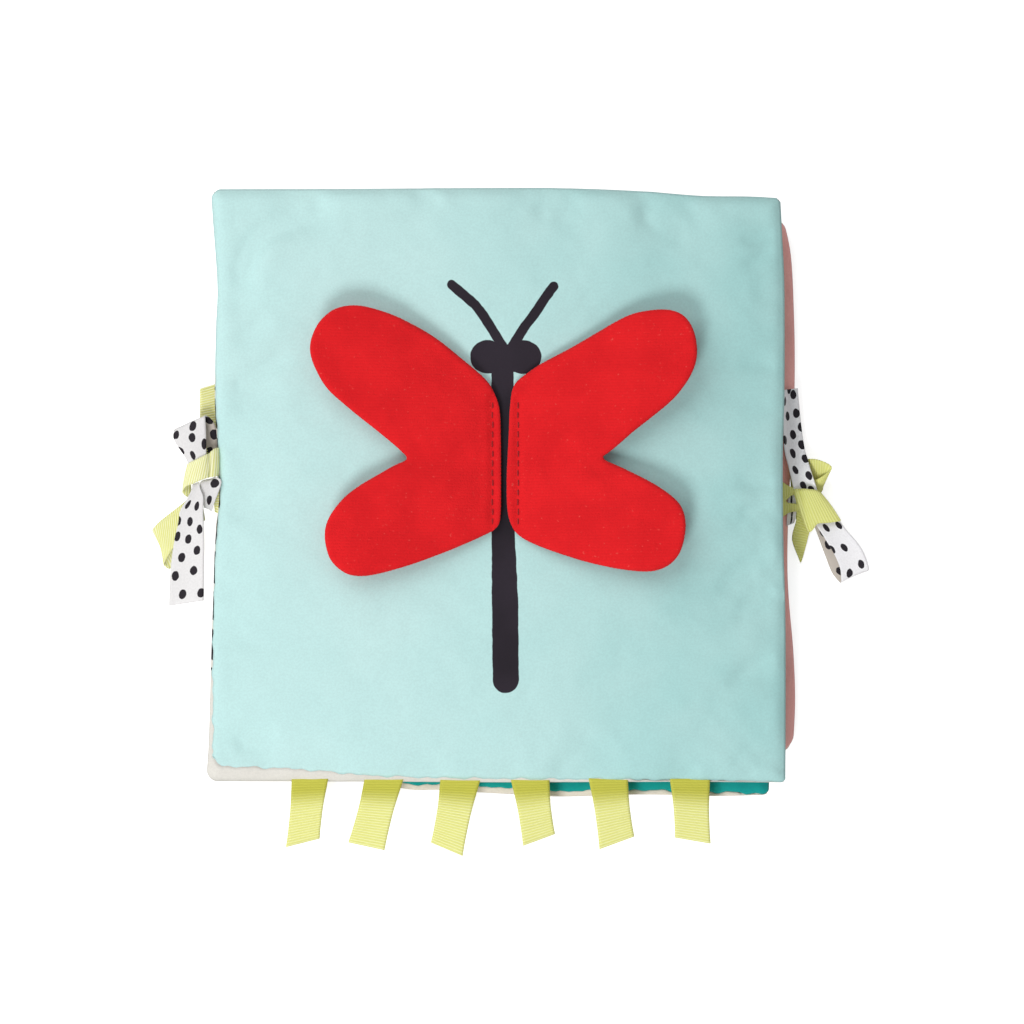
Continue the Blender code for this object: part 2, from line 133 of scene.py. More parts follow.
def seen(px, py, height):
    """The point at a height that shows at a pixel of the photograph."""
    across = float(px - PHOTO_PIXELS / 2) / (PHOTO_PIXELS / 2) * HALF_VIEW
    up = float(PHOTO_PIXELS / 2 - py) / (PHOTO_PIXELS / 2) * HALF_VIEW
    ray = Vector((across, 0, 0)) + up * CAMERA_UP - TO_CAMERA
    return CAMERA_PLACE + ray * ((height - CAMERA_PLACE.z) / ray.z)


def make_camera():
    camera = bpy.data.objects.new("camera", bpy.data.cameras.new("camera"))
    bpy.context.scene.collection.objects.link(camera)
    camera.data.sensor_width = SENSOR_WIDTH
    camera.data.lens = SENSOR_WIDTH / 2 / HALF_VIEW
    camera.location = CAMERA_PLACE
    camera.rotation_mode = "QUATERNION"
    camera.rotation_quaternion = (-TO_CAMERA).to_track_quat("-Z", "Y")
    bpy.context.scene.camera = camera


# Materials

# The colour sockets of a mix node
MIX_FIRST = 6
MIX_SECOND = 7
MIX_RESULT = 2


class Finish:
    """A material of nodes, with a short call for each kind of node that the finishes share."""

    def __init__(self, name, colour, roughness=0.85, sheen=0.0):
        self.material = bpy.data.materials.new(name)
        self.material.use_nodes = True
        self.tree = self.material.node_tree
        self.shader = self.tree.nodes["Principled BSDF"]
        self.shader.inputs["Base Color"].default_value = (*linear(colour), 1)
        self.shader.inputs["Roughness"].default_value = roughness
        self.shader.inputs["Specular IOR Level"].default_value = 0.25
        self.shader.inputs["Sheen Weight"].default_value = sheen
        self.shader.inputs["Sheen Roughness"].default_value = 0.4
        self.height = None

    def node(self, kind, inputs=(), **settings):
        made = self.tree.nodes.new("ShaderNode" + kind)
        for key, value in settings.items():
            setattr(made, key, value)
        for key, value in dict(inputs).items():
            self.feed(made.inputs[key], value)
        return made

    def feed(self, socket, value):
        if isinstance(value, bpy.types.NodeSocket):
            self.tree.links.new(value, socket)
        elif isinstance(value, str):
            socket.default_value = (*linear(value), 1)
        else:
            socket.default_value = value

    def math(self, operation, a, b=0.0, clamp=False):
        return self.node("Math", {0: a, 1: b}, operation=operation, use_clamp=clamp).outputs[0]

    def vector(self, operation, a, b=(0, 0, 0)):
        return self.node("VectorMath", {0: a, 1: b}, operation=operation).outputs[0]

    def measure(self, operation, a, b=(0, 0, 0)):
        return self.node("VectorMath", {0: a, 1: b}, operation=operation).outputs["Value"]

    def scaled(self, a, factor):
        return self.node("VectorMath", {0: a, "Scale": factor}, operation="SCALE").outputs[0]

    def place(self):
        """Where a point is in its piece, in metres, as the frame has it at rest."""
        return self.node("TexCoord").outputs["Object"]

    def along(self):
        """Where a point is on a ribbon or cloth: metres across and along it."""
        return self.node("UVMap", uv_map="flat").outputs["UV"]

    def part(self, vector, axis):
        return self.node("SeparateXYZ", {0: vector}).outputs[axis]

    def noise(self, place, size, detail=2.0):
        """Noise, about 0 to 1, whose lumps are of that size."""
        inputs = {"Vector": place, "Scale": 1 / size, "Detail": detail}
        return self.node("TexNoise", inputs).outputs["Fac"]

    def between(self, value, low, high, to_low=0.0, to_high=1.0):
        inputs = {"Value": value, "From Min": low, "From Max": high, "To Min": to_low, "To Max": to_high}
        return self.node("MapRange", inputs, interpolation_type="SMOOTHSTEP").outputs[0]

    def mix(self, share, a, b):
        made = self.node("Mix", data_type="RGBA")
        self.feed(made.inputs["Factor"], share)
        self.feed(made.inputs[MIX_FIRST], a)
        self.feed(made.inputs[MIX_SECOND], b)
        return made.outputs[MIX_RESULT]

    def paint(self, colour):
        self.feed(self.shader.inputs["Base Color"], colour)

    def bump(self, height, depth):
        """Adds a height from 0 to 1, whose relief is that deep, in metres."""
        inputs = {"Height": height, "Distance": depth, "Strength": 1.0}
        made = self.node("Bump", inputs)
        if self.height:
            self.tree.links.new(self.height, made.inputs["Normal"])
        self.height = made.outputs[0]
        self.tree.links.new(self.height, self.shader.inputs["Normal"])


WEAVE_PITCH = 0.0005
WEAVE_DEPTH = 0.00004
CLOTH_PATCH = 0.03
CLOTH_FLECK = 0.0007
FLECK_DEPTH = 0.035


def weave(finish, place, pitch=WEAVE_PITCH, depth=WEAVE_DEPTH):
    """Crossing threads, as bump."""
    turn = 2 * math.pi / pitch
    x = finish.math("SINE", finish.math("MULTIPLY", finish.part(place, 0), turn))
    y = finish.math("SINE", finish.math("MULTIPLY", finish.part(place, 1), turn))
    finish.bump(finish.math("MULTIPLY_ADD", finish.math("MULTIPLY", x, y), 0.5, clamp=True), depth)


def mottled(finish, place, colour, light, share=0.5):
    """The colour with soft patches and small flecks of a lighter one."""
    patches = finish.between(finish.noise(place, CLOTH_PATCH), 0.3, 0.75, 0.0, share)
    ground = finish.mix(patches, colour, light)
    fine = finish.between(finish.noise(place, CLOTH_FLECK, 4.0), 0.3, 0.7, 1 - FLECK_DEPTH, 1 + FLECK_DEPTH)
    return finish.scaled(ground, fine)


def capsule_distance(finish, place, a, b, start_radius, end_radius):
    """How far a point is outside a tapered bar with round ends, from a to b."""
    run = b - a
    away = finish.vector("SUBTRACT", place, tuple(a))
    share = finish.measure("DOT_PRODUCT", away, tuple(run / run.length_squared))
    share = finish.math("ADD", share, 0.0, clamp=True)
    foot = finish.scaled(tuple(run), share)
    distance = finish.measure("DISTANCE", away, foot)
    radius = finish.math("MULTIPLY_ADD", share, end_radius - start_radius)
    radius.node.inputs[2].default_value = start_radius
    return finish.math("SUBTRACT", distance, radius)


# Print on the cover: a dragonfly's head, feelers and body, in pixels of the photograph
PRINT_HEIGHT = 0.0255
FEELER_RADIUS = 4.9
LEFT_FEELER = ((451.6, 284.4), (464, 295), (475, 304.5), (483, 314.5), (491, 327.5), (502, 345))
RIGHT_FEELER = ((553.5, 286), (546, 296.5), (537, 310), (525, 326), (513, 345))
HEAD_LOBES = ((487, 356.5, 17), (523.5, 357, 17))
HEAD_BAND = ((487, 358, 14), (523.5, 358, 14))
BODY_LINE = ((502.5, 362, 11), (502.5, 400, 11.5), (503, 530, 11.5), (505, 600, 13.2), (505.8, 680, 13))
PRINT_SOFTNESS = 0.00012
PRINT_WOBBLE = 0.0006
PRINT_WOBBLE_SIZE = 0.004
# Across these x, in metres, the cover's aqua darkens to its painted shade
AQUA_SHADE_SPAN = (-0.05, 0.095)


def flat_point(px, py):
    point = seen(px, py, PRINT_HEIGHT)
    return Vector((point.x, point.y, 0))


def pixel():
    return FRAME_WIDTH / PHOTO_PIXELS


def cover_print(finish, place):
    """1 inside the printed figure and 0 outside it."""
    flat = finish.vector("MULTIPLY", place, (1, 1, 0))
    bars = []
    for line in (LEFT_FEELER, RIGHT_FEELER):
        bars += [(*a, FEELER_RADIUS, *b, FEELER_RADIUS) for a, b in zip(line, line[1:])]
    bars += [(x, y, radius, x + 1, y, radius) for x, y, radius in HEAD_LOBES]
    bars += [(*a, *b) for line in (HEAD_BAND, BODY_LINE) for a, b in zip(line, line[1:])]
    nearest = None
    for ax, ay, a_radius, bx, by, b_radius in bars:
        a, b = flat_point(ax, ay), flat_point(bx, by)
        distance = capsule_distance(finish, flat, a, b, a_radius * pixel(), b_radius * pixel())
        nearest = distance if nearest is None else finish.math("MINIMUM", nearest, distance)
    wobble = finish.math("SUBTRACT", finish.noise(flat, PRINT_WOBBLE_SIZE), 0.5)
    nearest = finish.math("ADD", nearest, finish.math("MULTIPLY", wobble, PRINT_WOBBLE))
    return finish.between(nearest, -PRINT_SOFTNESS, PRINT_SOFTNESS, 1.0, 0.0)


def aqua_finish():
    finish = Finish("aqua_print_cloth", AQUA, 0.8, 0.15)
    place = finish.place()
    # Painted shade: the aqua darkens towards the right, standing in for the light's fall-off
    right_shade = finish.between(finish.part(place, 0), *AQUA_SHADE_SPAN)
    ground = mottled(finish, place, finish.mix(right_shade, AQUA, AQUA_PAINTED_SHADE), "cbe9e7", 0.25)
    ink = mottled(finish, place, INK, "322a35", 0.6)
    finish.paint(finish.mix(cover_print(finish, place), ground, ink))
    weave(finish, place)
    return finish.material


STRIPE_PITCH = 0.0135
STRIPE_WAVE = 0.004
STRIPE_TURN = 190.0
STRIPE_LEAN = 0.006
STRIPE_LEAN_SIZE = 0.02
STRIPES_FADE_X = (-0.0950, -0.0962)
STRIPES_START_Y = (-0.0632, -0.0630)
STRIPES_STOP_Y = (0.0352, 0.0350)


def reverse_finish():
    """White cloth with a plain wavy black stripe, which stops short of the page's bottom edge."""
    finish = Finish("striped_print_cloth", PRINT_WHITE, 0.8, 0.15)
    place = finish.place()
    x, y = finish.part(place, 0), finish.part(place, 1)
    wave = finish.math("MULTIPLY", finish.math("SINE", finish.math("MULTIPLY", x, STRIPE_TURN)), STRIPE_WAVE)
    uneven = finish.math("MULTIPLY", finish.noise(place, STRIPE_LEAN_SIZE), STRIPE_LEAN)
    lean = finish.math("ADD", finish.math("ADD", y, wave), uneven)
    stripe = finish.math("SINE", finish.math("MULTIPLY", lean, 2 * math.pi / STRIPE_PITCH))
    near_edge = finish.between(x, *STRIPES_FADE_X, 0.0, 0.9)
    ink = finish.between(finish.math("ADD", stripe, near_edge), 0.08, 0.16)
    ink = finish.math("MULTIPLY", ink, finish.between(y, *STRIPES_START_Y))
    ink = finish.math("MULTIPLY", ink, finish.between(y, *STRIPES_STOP_Y))
    ground = mottled(finish, place, PRINT_WHITE, "e4e1da", 0.5)
    finish.paint(finish.mix(ink, ground, INK))
    weave(finish, place)
    return finish.material


def plain_cloth(name, colour, light):
    finish = Finish(name, colour, 0.8, 0.2)
    place = finish.place()
    finish.paint(mottled(finish, place, colour, light))
    weave(finish, place)
    return finish.material


def dotted_cloth(name, colour, dot, pitch, radius):
    """Plain cloth with staggered round dots."""
    finish = Finish(name, colour, 0.8, 0.2)
    place = finish.place()
    inputs = {"Vector": place, "Scale": 1 / pitch, "Randomness": 0.0}
    cells = finish.node("TexVoronoi", inputs, voronoi_dimensions="2D").outputs["Distance"]
    share = finish.between(cells, radius / pitch - 0.015, radius / pitch + 0.015, 1.0, 0.0)
    ground = mottled(finish, place, colour, colour)
    finish.paint(finish.mix(share, ground, dot))
    weave(finish, place)
    return finish.material


KNIT_PITCH = 0.00105
KNIT_DEPTH = 0.00004
PILE_SIZE = 0.0005
PILE_DEPTH = 0.0003


def plush_finish():
    """Short red pile over fine knitted rows, with small pale flecks."""
    finish = Finish("red_plush", RED, 0.95, 0.35)
    finish.shader.inputs["Sheen Tint"].default_value = (*linear("ff8a80"), 1)
    place = finish.place()
    patches = finish.between(finish.noise(place, 0.012, 3.0), 0.3, 0.75)
    colour = finish.mix(patches, "dc171e", RED)
    flecks = finish.between(finish.noise(place, 0.0011, 2.0), 0.66, 0.8)
    colour = finish.mix(flecks, colour, RED_LIGHT)
    rows = finish.math("MULTIPLY", finish.part(place, 1), 2 * math.pi / KNIT_PITCH)
    rows = finish.math("MULTIPLY_ADD", finish.math("SINE", rows), 0.5)
    rows.node.inputs[2].default_value = 0.5
    finish.paint(finish.mix(finish.math("MULTIPLY", rows, 0.12), colour, "b8131a"))
    finish.bump(rows, KNIT_DEPTH)
    finish.bump(finish.noise(place, PILE_SIZE, 3.0), PILE_DEPTH)
    return finish.material


RIBBON_STEP = 0.0004
RIBBED_STEP = 0.00018
RIB_PITCH = 0.0009
RIB_DEPTH = 0.00009
RIB_CONTRAST = 0.85
THREAD_PITCH = 0.0003
# How far from the seam the tags carry painted shade, in metres
TAG_SHADE_UNTIL = 0.0085


def grosgrain_finish(name, light, deep, shade_until):
    """Ribbed ribbon, whose ribs are in its mesh too. Up to a length along it, its colour carries painted
    shade.
    """
    finish = Finish(name, light, 0.6, 0.2)
    flat = finish.along()
    along = finish.part(flat, 1)
    turn = finish.math("MULTIPLY_ADD", along, 2 * math.pi / RIB_PITCH)
    turn.node.inputs[2].default_value = 0.0
    rib = finish.between(finish.math("SINE", turn), -0.6, 0.9)
    threads = finish.math("SINE", finish.math("MULTIPLY", finish.part(flat, 0), 2 * math.pi / THREAD_PITCH))
    patch = finish.noise(flat, 0.006)
    # Painted shade: up to that length along the ribbon the colour is darker, as in the shade by the seam
    shaded = finish.between(along, shade_until - 0.005, shade_until + 0.003, 1.0, 0.0)
    ground = finish.mix(shaded, light, deep)
    # Painted shade: the valleys between the ribs are darker
    dark = finish.mix(shaded, GREEN, GREEN_PAINTED_SHADE)
    colour = finish.mix(finish.math("MULTIPLY", rib, RIB_CONTRAST), dark, ground)
    colour = finish.mix(finish.math("MULTIPLY", patch, 0.3), colour, ground)
    finish.paint(colour)
    finish.bump(finish.between(threads, -1.0, 1.0), 0.00002)
    return finish.material


DOT_HALF_WIDTH = 0.00135
DOT_HALF_LENGTH = 0.00165
DOT_EDGE = 0.00008
WIDE_DOT_HALF_WIDTH = 0.0026
TAIL_DOT_HALF_WIDTH = 0.0018


def dotted_ribbon_finish(name, white, dots, inside_shade_from, half_width):
    """White ribbon with black dots at places across and along it; past a length along it, on the inner leg
    of a loop, it takes a beige painted shade.
    """
    finish = Finish(name, white, 0.55, 0.15)
    flat = finish.vector("MULTIPLY", finish.along(), (1, 1, 0))
    squeeze = DOT_HALF_LENGTH / half_width
    squeezed = finish.vector("MULTIPLY", flat, (squeeze, 1, 0))
    nearest = None
    for across, along in dots:
        distance = finish.measure("DISTANCE", squeezed, (across * squeeze, along, 0))
        nearest = distance if nearest is None else finish.math("MINIMUM", nearest, distance)
    wobble = finish.math("MULTIPLY", finish.noise(flat, 0.0016), 0.0006)
    nearest = finish.math("ADD", nearest, wobble)
    radius = DOT_HALF_LENGTH + 0.0003
    share = finish.between(nearest, radius - DOT_EDGE, radius + DOT_EDGE, 1.0, 0.0)
    ground = mottled(finish, flat, white, "f8f7f6", 0.5)
    # Painted shade: past that length, inside the loop, the ribbon turns beige
    turned = finish.between(finish.part(flat, 1), inside_shade_from, inside_shade_from + 0.0006)
    ground = finish.mix(turned, ground, RIBBON_INSIDE_SHADE)
    finish.paint(finish.mix(share, ground, INK))
    weave(finish, flat, 0.00035, 0.00003)
    return finish.material


def thread_finish():
    finish = Finish("red_thread", THREAD, 0.6, 0.2)
    place = finish.place()
    twist = finish.math("SINE", finish.math("MULTIPLY", finish.part(place, 1), 2 * math.pi / 0.0004))
    finish.paint(finish.mix(finish.between(twist, -1.0, 1.0), THREAD, "a8161c"))
    finish.bump(finish.between(twist, -1.0, 1.0), 0.00005)
    return finish.material


def wadding_finish():
    finish = Finish("wadding", WADDING, 1.0, 0.3)
    place = finish.place()
    finish.paint(mottled(finish, place, WADDING, "ffffff"))
    finish.bump(finish.noise(place, 0.001, 4.0), 0.0004)
    return finish.material


def film_finish():
    finish = Finish("crinkle_film", FILM, 0.2)
    finish.shader.inputs["Transmission Weight"].default_value = 0.5
    place = finish.place()
    finish.bump(finish.noise(place, 0.006, 3.0), 0.0008)
    return finish.material


# Meshes


def add_mesh(name, points, faces, finish, flat=None):
    """A mesh object of points and faces; flat gives each point's metres across and along the cloth."""
    mesh = bpy.data.meshes.new(name)
    if isinstance(faces, np.ndarray):
        faces = faces.tolist()
    mesh.from_pydata(np.asarray(points, float).tolist(), [], faces)
    if flat is not None:
        layer = mesh.uv_layers.new(name="flat")
        corners = np.zeros(len(mesh.loops), np.int32)
        mesh.loops.foreach_get("vertex_index", corners)
        layer.data.foreach_set("uv", np.asarray(flat, np.float32)[corners].ravel())
    mesh.shade_smooth()
    mesh.materials.append(finish)
    obj = bpy.data.objects.new(name, mesh)
    bpy.context.scene.collection.objects.link(obj)
    return obj


def index_faces(index, flip=False):
    """The faces between a grid's points, given by their numbers."""
    faces = np.stack([index[:-1, :-1], index[:-1, 1:], index[1:, 1:], index[1:, :-1]], -1).reshape(-1, 4)
    return faces[:, ::-1] if flip else faces


def grid_faces(rows, cols, flip=False, start=0):
    return index_faces(start + np.arange(rows * cols).reshape(rows, cols), flip)


def ring_of(grid):
    """A grid's values round its rim, from its first corner."""
    return np.concatenate([grid[0][:-1], grid[:, -1][:-1], grid[-1][::-1][:-1], grid[:, 0][::-1][:-1]])


def thicken(obj, thickness, offset=0.0):
    layer = obj.modifiers.new("Thickness", "SOLIDIFY")
    layer.thickness = thickness
    layer.offset = offset


def smooth_line(points, step_share=0.02, closed=False):
    """A smooth line through given points of any number of values."""
    points = np.asarray(points, float)
    if closed:
        ends = np.concatenate([points[-1:], points, points[:2]])
    else:
        ends = np.concatenate([2 * points[:1] - points[1:2], points, 2 * points[-1:] - points[-2:-1]])
    steps = np.arange(0, 1, step_share)[:, None]
    spans = []
    for a, b, c, d in zip(ends, ends[1:], ends[2:], ends[3:]):
        spans.append(0.5 * (
            2 * b + (c - a) * steps + (2 * a - 5 * b + 4 * c - d) * steps**2
            + (3 * b - a - 3 * c + d) * steps**3
        ))
    if not closed:
        spans.append(points[-1:])
    return np.concatenate(spans)


def even_line(line, count, closed=False):
    """The same line with that many points, evenly spaced along it."""
    if closed:
        line = np.concatenate([line, line[:1]])
    run = np.concatenate([[0], np.cumsum(np.linalg.norm(np.diff(line[:, :3], axis=0), axis=1))])
    at = np.linspace(0, run[-1], count + 1 if closed else count)
    made = np.stack([np.interp(at, run, line[:, k]) for k in range(line.shape[1])], 1)
    return made[:-1] if closed else made


def read_grid(field, u, v):
    """A grid's values read smoothly at shares u and v, from -1 to 1."""
    rows, cols = field.shape
    x = np.clip((u + 1) / 2, 0, 1) * (cols - 1)
    y = np.clip((v + 1) / 2, 0, 1) * (rows - 1)
    column, row = np.minimum(x.astype(int), cols - 2), np.minimum(y.astype(int), rows - 2)
    total = 0

    def weights(t):
        return (
            (-t + 2 * t**2 - t**3) / 2, (2 - 5 * t**2 + 3 * t**3) / 2,
            (t + 4 * t**2 - 3 * t**3) / 2, (t**3 - t**2) / 2,
        )

    for i, across in enumerate(weights(x - column)):
        for j, up in enumerate(weights(y - row)):
            total = total + across * up * field[
                np.clip(row + j - 1, 0, rows - 1), np.clip(column + i - 1, 0, cols - 1)
            ]
    return total


# Pages

SEWN = "sewn"
CLOTH_QUALITY = 6
# A pillow's cloth, inflated a little and drawn in at its seam
PILLOW_FRAMES = 20
PILLOW_PRESSURE = 0.5
PILLOW_SHRINK = 0.012
PILLOW_START = 0.0015
PILLOW_NOISE = 0.0003
MIDDLE_SHARE = 0.12
SEAM_WAVES = (95, 147, 233)
SEAM_UNEVEN = 0.0007
SEAM_ALLOWANCE = 0.0006
SEAM_TUCK = 2.2
ROLL_NEAR_RIM = 12
COLLAR_STEPS = 4
PADDING_COUNT = 73
PADDING_REACH = 0.955
LEAST_PADDING = 0.0002
FILM_REACH = 0.93
FILM_THICKNESS = 0.0001
FILM_SEED = 7
PADDING_INSET = 0.002
FILM_INSET = 0.0009
FILM_CRACKLE = 0.0001


def pillow_heights(width, height, seed):
    """Cloth simulation of a sewn pillow: its half thickness and its middle's height, on a grid."""
    cols, rows = round(width / PAGE_CELL), round(height / PAGE_CELL)
    u, v = np.meshgrid(np.linspace(-1, 1, cols + 1), np.linspace(-1, 1, rows + 1))
    inner = np.zeros(u.shape, bool)
    inner[1:-1, 1:-1] = True
    noise = np.random.default_rng(seed).normal(0, PILLOW_NOISE, u.shape)
    flat = np.stack([u * width / 2, v * height / 2, np.zeros_like(u)], -1)
    top, bottom = flat.copy(), flat.copy()
    top[inner, 2] = PILLOW_START + noise[inner]
    bottom[inner, 2] = -PILLOW_START + noise[inner]
    top_index = np.arange(u.size).reshape(u.shape)
    bottom_index = top_index.copy()
    bottom_index[inner] = u.size + np.arange(inner.sum())
    faces = np.concatenate([index_faces(top_index), index_faces(bottom_index, True)])
    points = np.concatenate([top.reshape(-1, 3), bottom[inner]])
    made = inflated("pillow", points, faces.tolist(), [int(i) for i in top_index[~inner]], PILLOW_FRAMES, {
        "bending_stiffness": 0.05, "uniform_pressure_force": PILLOW_PRESSURE, "vertex_group_shrink": SEWN,
        "shrink_max": PILLOW_SHRINK, "shrink_min": 0,
    })
    top_z, bottom_z = made[top_index][..., 2], made[bottom_index][..., 2]
    return (top_z - bottom_z) / 2, (top_z + bottom_z) / 2


def inflated(name, points, faces, sewn, frames, settings):
    """A closed cloth's points after it is inflated; sewn are the points that its settings call SEWN."""
    mesh = bpy.data.meshes.new(name)
    mesh.from_pydata(points.tolist(), [], faces)
    body = bpy.data.objects.new(name, mesh)
    bpy.context.scene.collection.objects.link(body)
    body.vertex_groups.new(name=SEWN).add(sewn, 1.0, "REPLACE")
    cloth = body.modifiers.new("Cloth", "CLOTH")
    cloth.settings.quality = CLOTH_QUALITY
    cloth.settings.use_pressure = True
    cloth.settings.effector_weights.gravity = 0
    for key, value in settings.items():
        setattr(cloth.settings, key, value)
    cloth.point_cache.frame_end = frames + 1
    made = simulated_points(body, frames)
    bpy.data.objects.remove(body)
    return made


def simulated_points(obj, frames):
    """An object's points after its cloth has run for that many frames."""
    for number in range(1, frames + 1):
        bpy.context.scene.frame_set(number)
    shown = obj.evaluated_get(bpy.context.evaluated_depsgraph_get())
    mesh = shown.to_mesh()
    made = np.zeros(len(mesh.vertices) * 3)
    mesh.vertices.foreach_get("co", made)
    shown.to_mesh_clear()
    bpy.context.scene.frame_set(1)
    return made.reshape(-1, 3)


def page_seam(page):
    """The height of a page's seam, between its two cloths."""
    return (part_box(page + "_top_cloth")[0].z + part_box(page + "_reverse_cloth")[1].z) / 2


class Page:
    """A page's outline as the photograph shows it, and the heights of its two cloths.

    Each side is a row of pixels, left to right or bottom to top. Rolls are how far the reverse cloth is
    rolled up over an edge: a side's name, and pairs of share along it and metres.
    """

    def __init__(self, name, sides, corners, seed):
        self.name = name
        self.seam = page_seam(name)
        self.corners = corners
        axes = {"bottom": 0, "top": 0, "left": 1, "right": 1}
        self.sides = [self.side(sides[key], axis) for key, axis in axes.items()]
        low, high = self.sides[0][0], self.sides[1][-1]
        self.width, self.height = high[0] - low[0], high[1] - low[1]
        self.half, self.middle = pillow_heights(self.width, self.height, seed)
        usual = np.percentile(self.half, 70)
        self.half = PAGE_CROWN * np.tanh(self.half / usual * 1.1)
        self.middle = self.middle * MIDDLE_SHARE
        self.creases = []

    def side(self, line, axis):
        """A side's points, evenly spaced along its main axis, as x and y."""
        points = np.array([seen(px, py, self.seam)[:2] for px, py in line])
        curve = smooth_line(points)
        at = np.linspace(curve[0, axis], curve[-1, axis], SIDE_POINTS)
        other = np.interp(at, curve[:, axis], curve[:, 1 - axis])
        return np.stack([at, other] if axis == 0 else [other, at], 1)

    def on_side(self, side, share):
        within = np.clip(share, 0, 1)
        at = within * (SIDE_POINTS - 1)
        made = np.stack([np.interp(at, np.arange(SIDE_POINTS), side[:, k]) for k in (0, 1)], -1)
        return made + (share - within)[..., None] * (side[-1] - side[0])

    def round_off(self, u, v):
        """Pulls the page's corners in to their round shapes."""
        made_u, made_v = u.copy(), v.copy()
        for (side_x, side_y), radius in self.corners.items():
            a = (np.abs(u) - 1) / (2 * radius / self.width) + 1
            b = (np.abs(v) - 1) / (2 * radius / self.height) + 1
            here = (a > 0) & (b > 0) & (u * side_x > 0) & (v * side_y > 0)
            new_a = a * np.sqrt(np.maximum(1 - b * b / 2, 0))
            new_b = b * np.sqrt(np.maximum(1 - a * a / 2, 0))
            made_u = np.where(here, side_x * (1 + (new_a - 1) * 2 * radius / self.width), made_u)
            made_v = np.where(here, side_y * (1 + (new_b - 1) * 2 * radius / self.height), made_v)
        return made_u, made_v

    def place(self, u, v):
        """The x and y of the point at shares u and v, -1 to 1."""
        u, v = self.round_off(u, v)
        s, t = ((u + 1) / 2)[..., None], ((v + 1) / 2)[..., None]
        bottom, top, left, right = self.sides
        low, high = self.on_side(bottom, s[..., 0]), self.on_side(top, s[..., 0])
        west, east = self.on_side(left, t[..., 0]), self.on_side(right, t[..., 0])
        corners = (
            (1 - s) * (1 - t) * bottom[0] + s * (1 - t) * bottom[-1]
            + (1 - s) * t * top[0] + s * t * top[-1]
        )
        return (1 - t) * low + t * high + (1 - s) * west + s * east - corners

    def rim_distance(self, u, v):
        return np.minimum((1 - np.abs(u)) * self.width, (1 - np.abs(v)) * self.height) / 2

    def rise(self, u, v):
        """The half thickness: steep at the rim, then as the cloth simulation left it."""
        distance = self.rim_distance(u, v)
        near = np.clip(distance / EDGE_REACH, 0, 1)
        pull = near**EDGE_POWER / np.maximum(near, 1e-6)
        pull = np.where(near < 1e-6, 0, pull)
        inward_u = np.sign(u) * (1 - (1 - np.abs(u)) * pull)
        inward_v = np.sign(v) * (1 - (1 - np.abs(v)) * pull)
        use_u = np.where((1 - np.abs(u)) * self.width < EDGE_REACH * 2, inward_u, u)
        use_v = np.where((1 - np.abs(v)) * self.height < EDGE_REACH * 2, inward_v, v)
        least = LEAST_CROWN * np.sqrt(np.clip(distance / LEAST_CROWN_REACH, 0, 1))
        return np.maximum(read_grid(self.half, use_u, use_v), least) * np.where(distance <= 0, 0, 1)

    def upper(self, u, v):
        """Points of the top cloth at shares u and v."""
        flat = self.place(u, v)
        rise = self.rise(u, v)
        inside = np.clip(self.rim_distance(u, v) / CREASE_FADE, 0, 1)
        creased = inside * sum((crease(flat[..., 0], flat[..., 1]) for crease in self.creases), 0 * rise)
        z = self.seam + read_grid(self.middle, u, v) + rise + np.maximum(creased, -CREASE_LIMIT * rise)
        return np.concatenate([flat, z[..., None]], -1)

    def lower(self, u, v, flat_below=None):
        flat = self.place(u, v)
        z = self.seam + read_grid(self.middle, u, v) - self.rise(u, v)
        if flat_below is not None:
            z = np.maximum(z, flat_below)
        return np.concatenate([flat, z[..., None]], -1)


def crease(pixels, width, height):
    """A soft ridge, or with a negative height a valley, along a bent line of the cover."""
    line = smooth_line([seen(px, py, PRINT_HEIGHT)[:2] for px, py in pixels], 0.1)
    share = np.linspace(0, 1, len(line))

    def raised(x, y):
        away = np.hypot(x[..., None] - line[:, 0], y[..., None] - line[:, 1])
        nearest = away.argmin(-1)
        taper = np.sin(np.pi * np.clip(share[nearest], 0.02, 0.98)) ** 0.7
        return height * taper * np.exp(-((away.min(-1) / width) ** 2))

    return raised


def wave_rows(count, low=-1.0, high=1.0, near_edge=0.0):
    """Shares from low to high, crowded a little towards the rim."""
    even = np.linspace(-1, 1, count)
    bent = even * (1 - near_edge) + np.sin(even * np.pi / 2) * near_edge
    return low + (bent + 1) / 2 * (high - low)


def roll_of(pairs, share):
    """How far a cloth is rolled over an edge at a share along it; the seam's pull makes it uneven."""
    even = np.interp(share, [p[0] for p in pairs], [p[1] for p in pairs])
    uneven = sum(np.sin(share * turn + turn) for turn in SEAM_WAVES) / len(SEAM_WAVES)
    return even + np.clip(even, 0, SEAM_UNEVEN) * uneven * 0.8


def drawn_in(page, rolls, u, v, least=-1.0):
    """Shares u and v of the top cloth's own grid, which stops at the rolled seam."""
    s, t = (u + 1) / 2, (v + 1) / 2
    low = np.maximum(roll_of(rolls["bottom"], s), least) * 2 / page.height
    high = np.maximum(roll_of(rolls["top"], s), least) * 2 / page.height
    west = np.maximum(roll_of(rolls["left"], t), least) * 2 / page.width
    east = np.maximum(roll_of(rolls["right"], t), least) * 2 / page.width
    du = west * np.clip(-u, 0, 1) ** ROLL_NEAR_RIM - east * np.clip(u, 0, 1) ** ROLL_NEAR_RIM
    dv = low * np.clip(-v, 0, 1) ** ROLL_NEAR_RIM - high * np.clip(v, 0, 1) ** ROLL_NEAR_RIM
    return u + du, v + dv


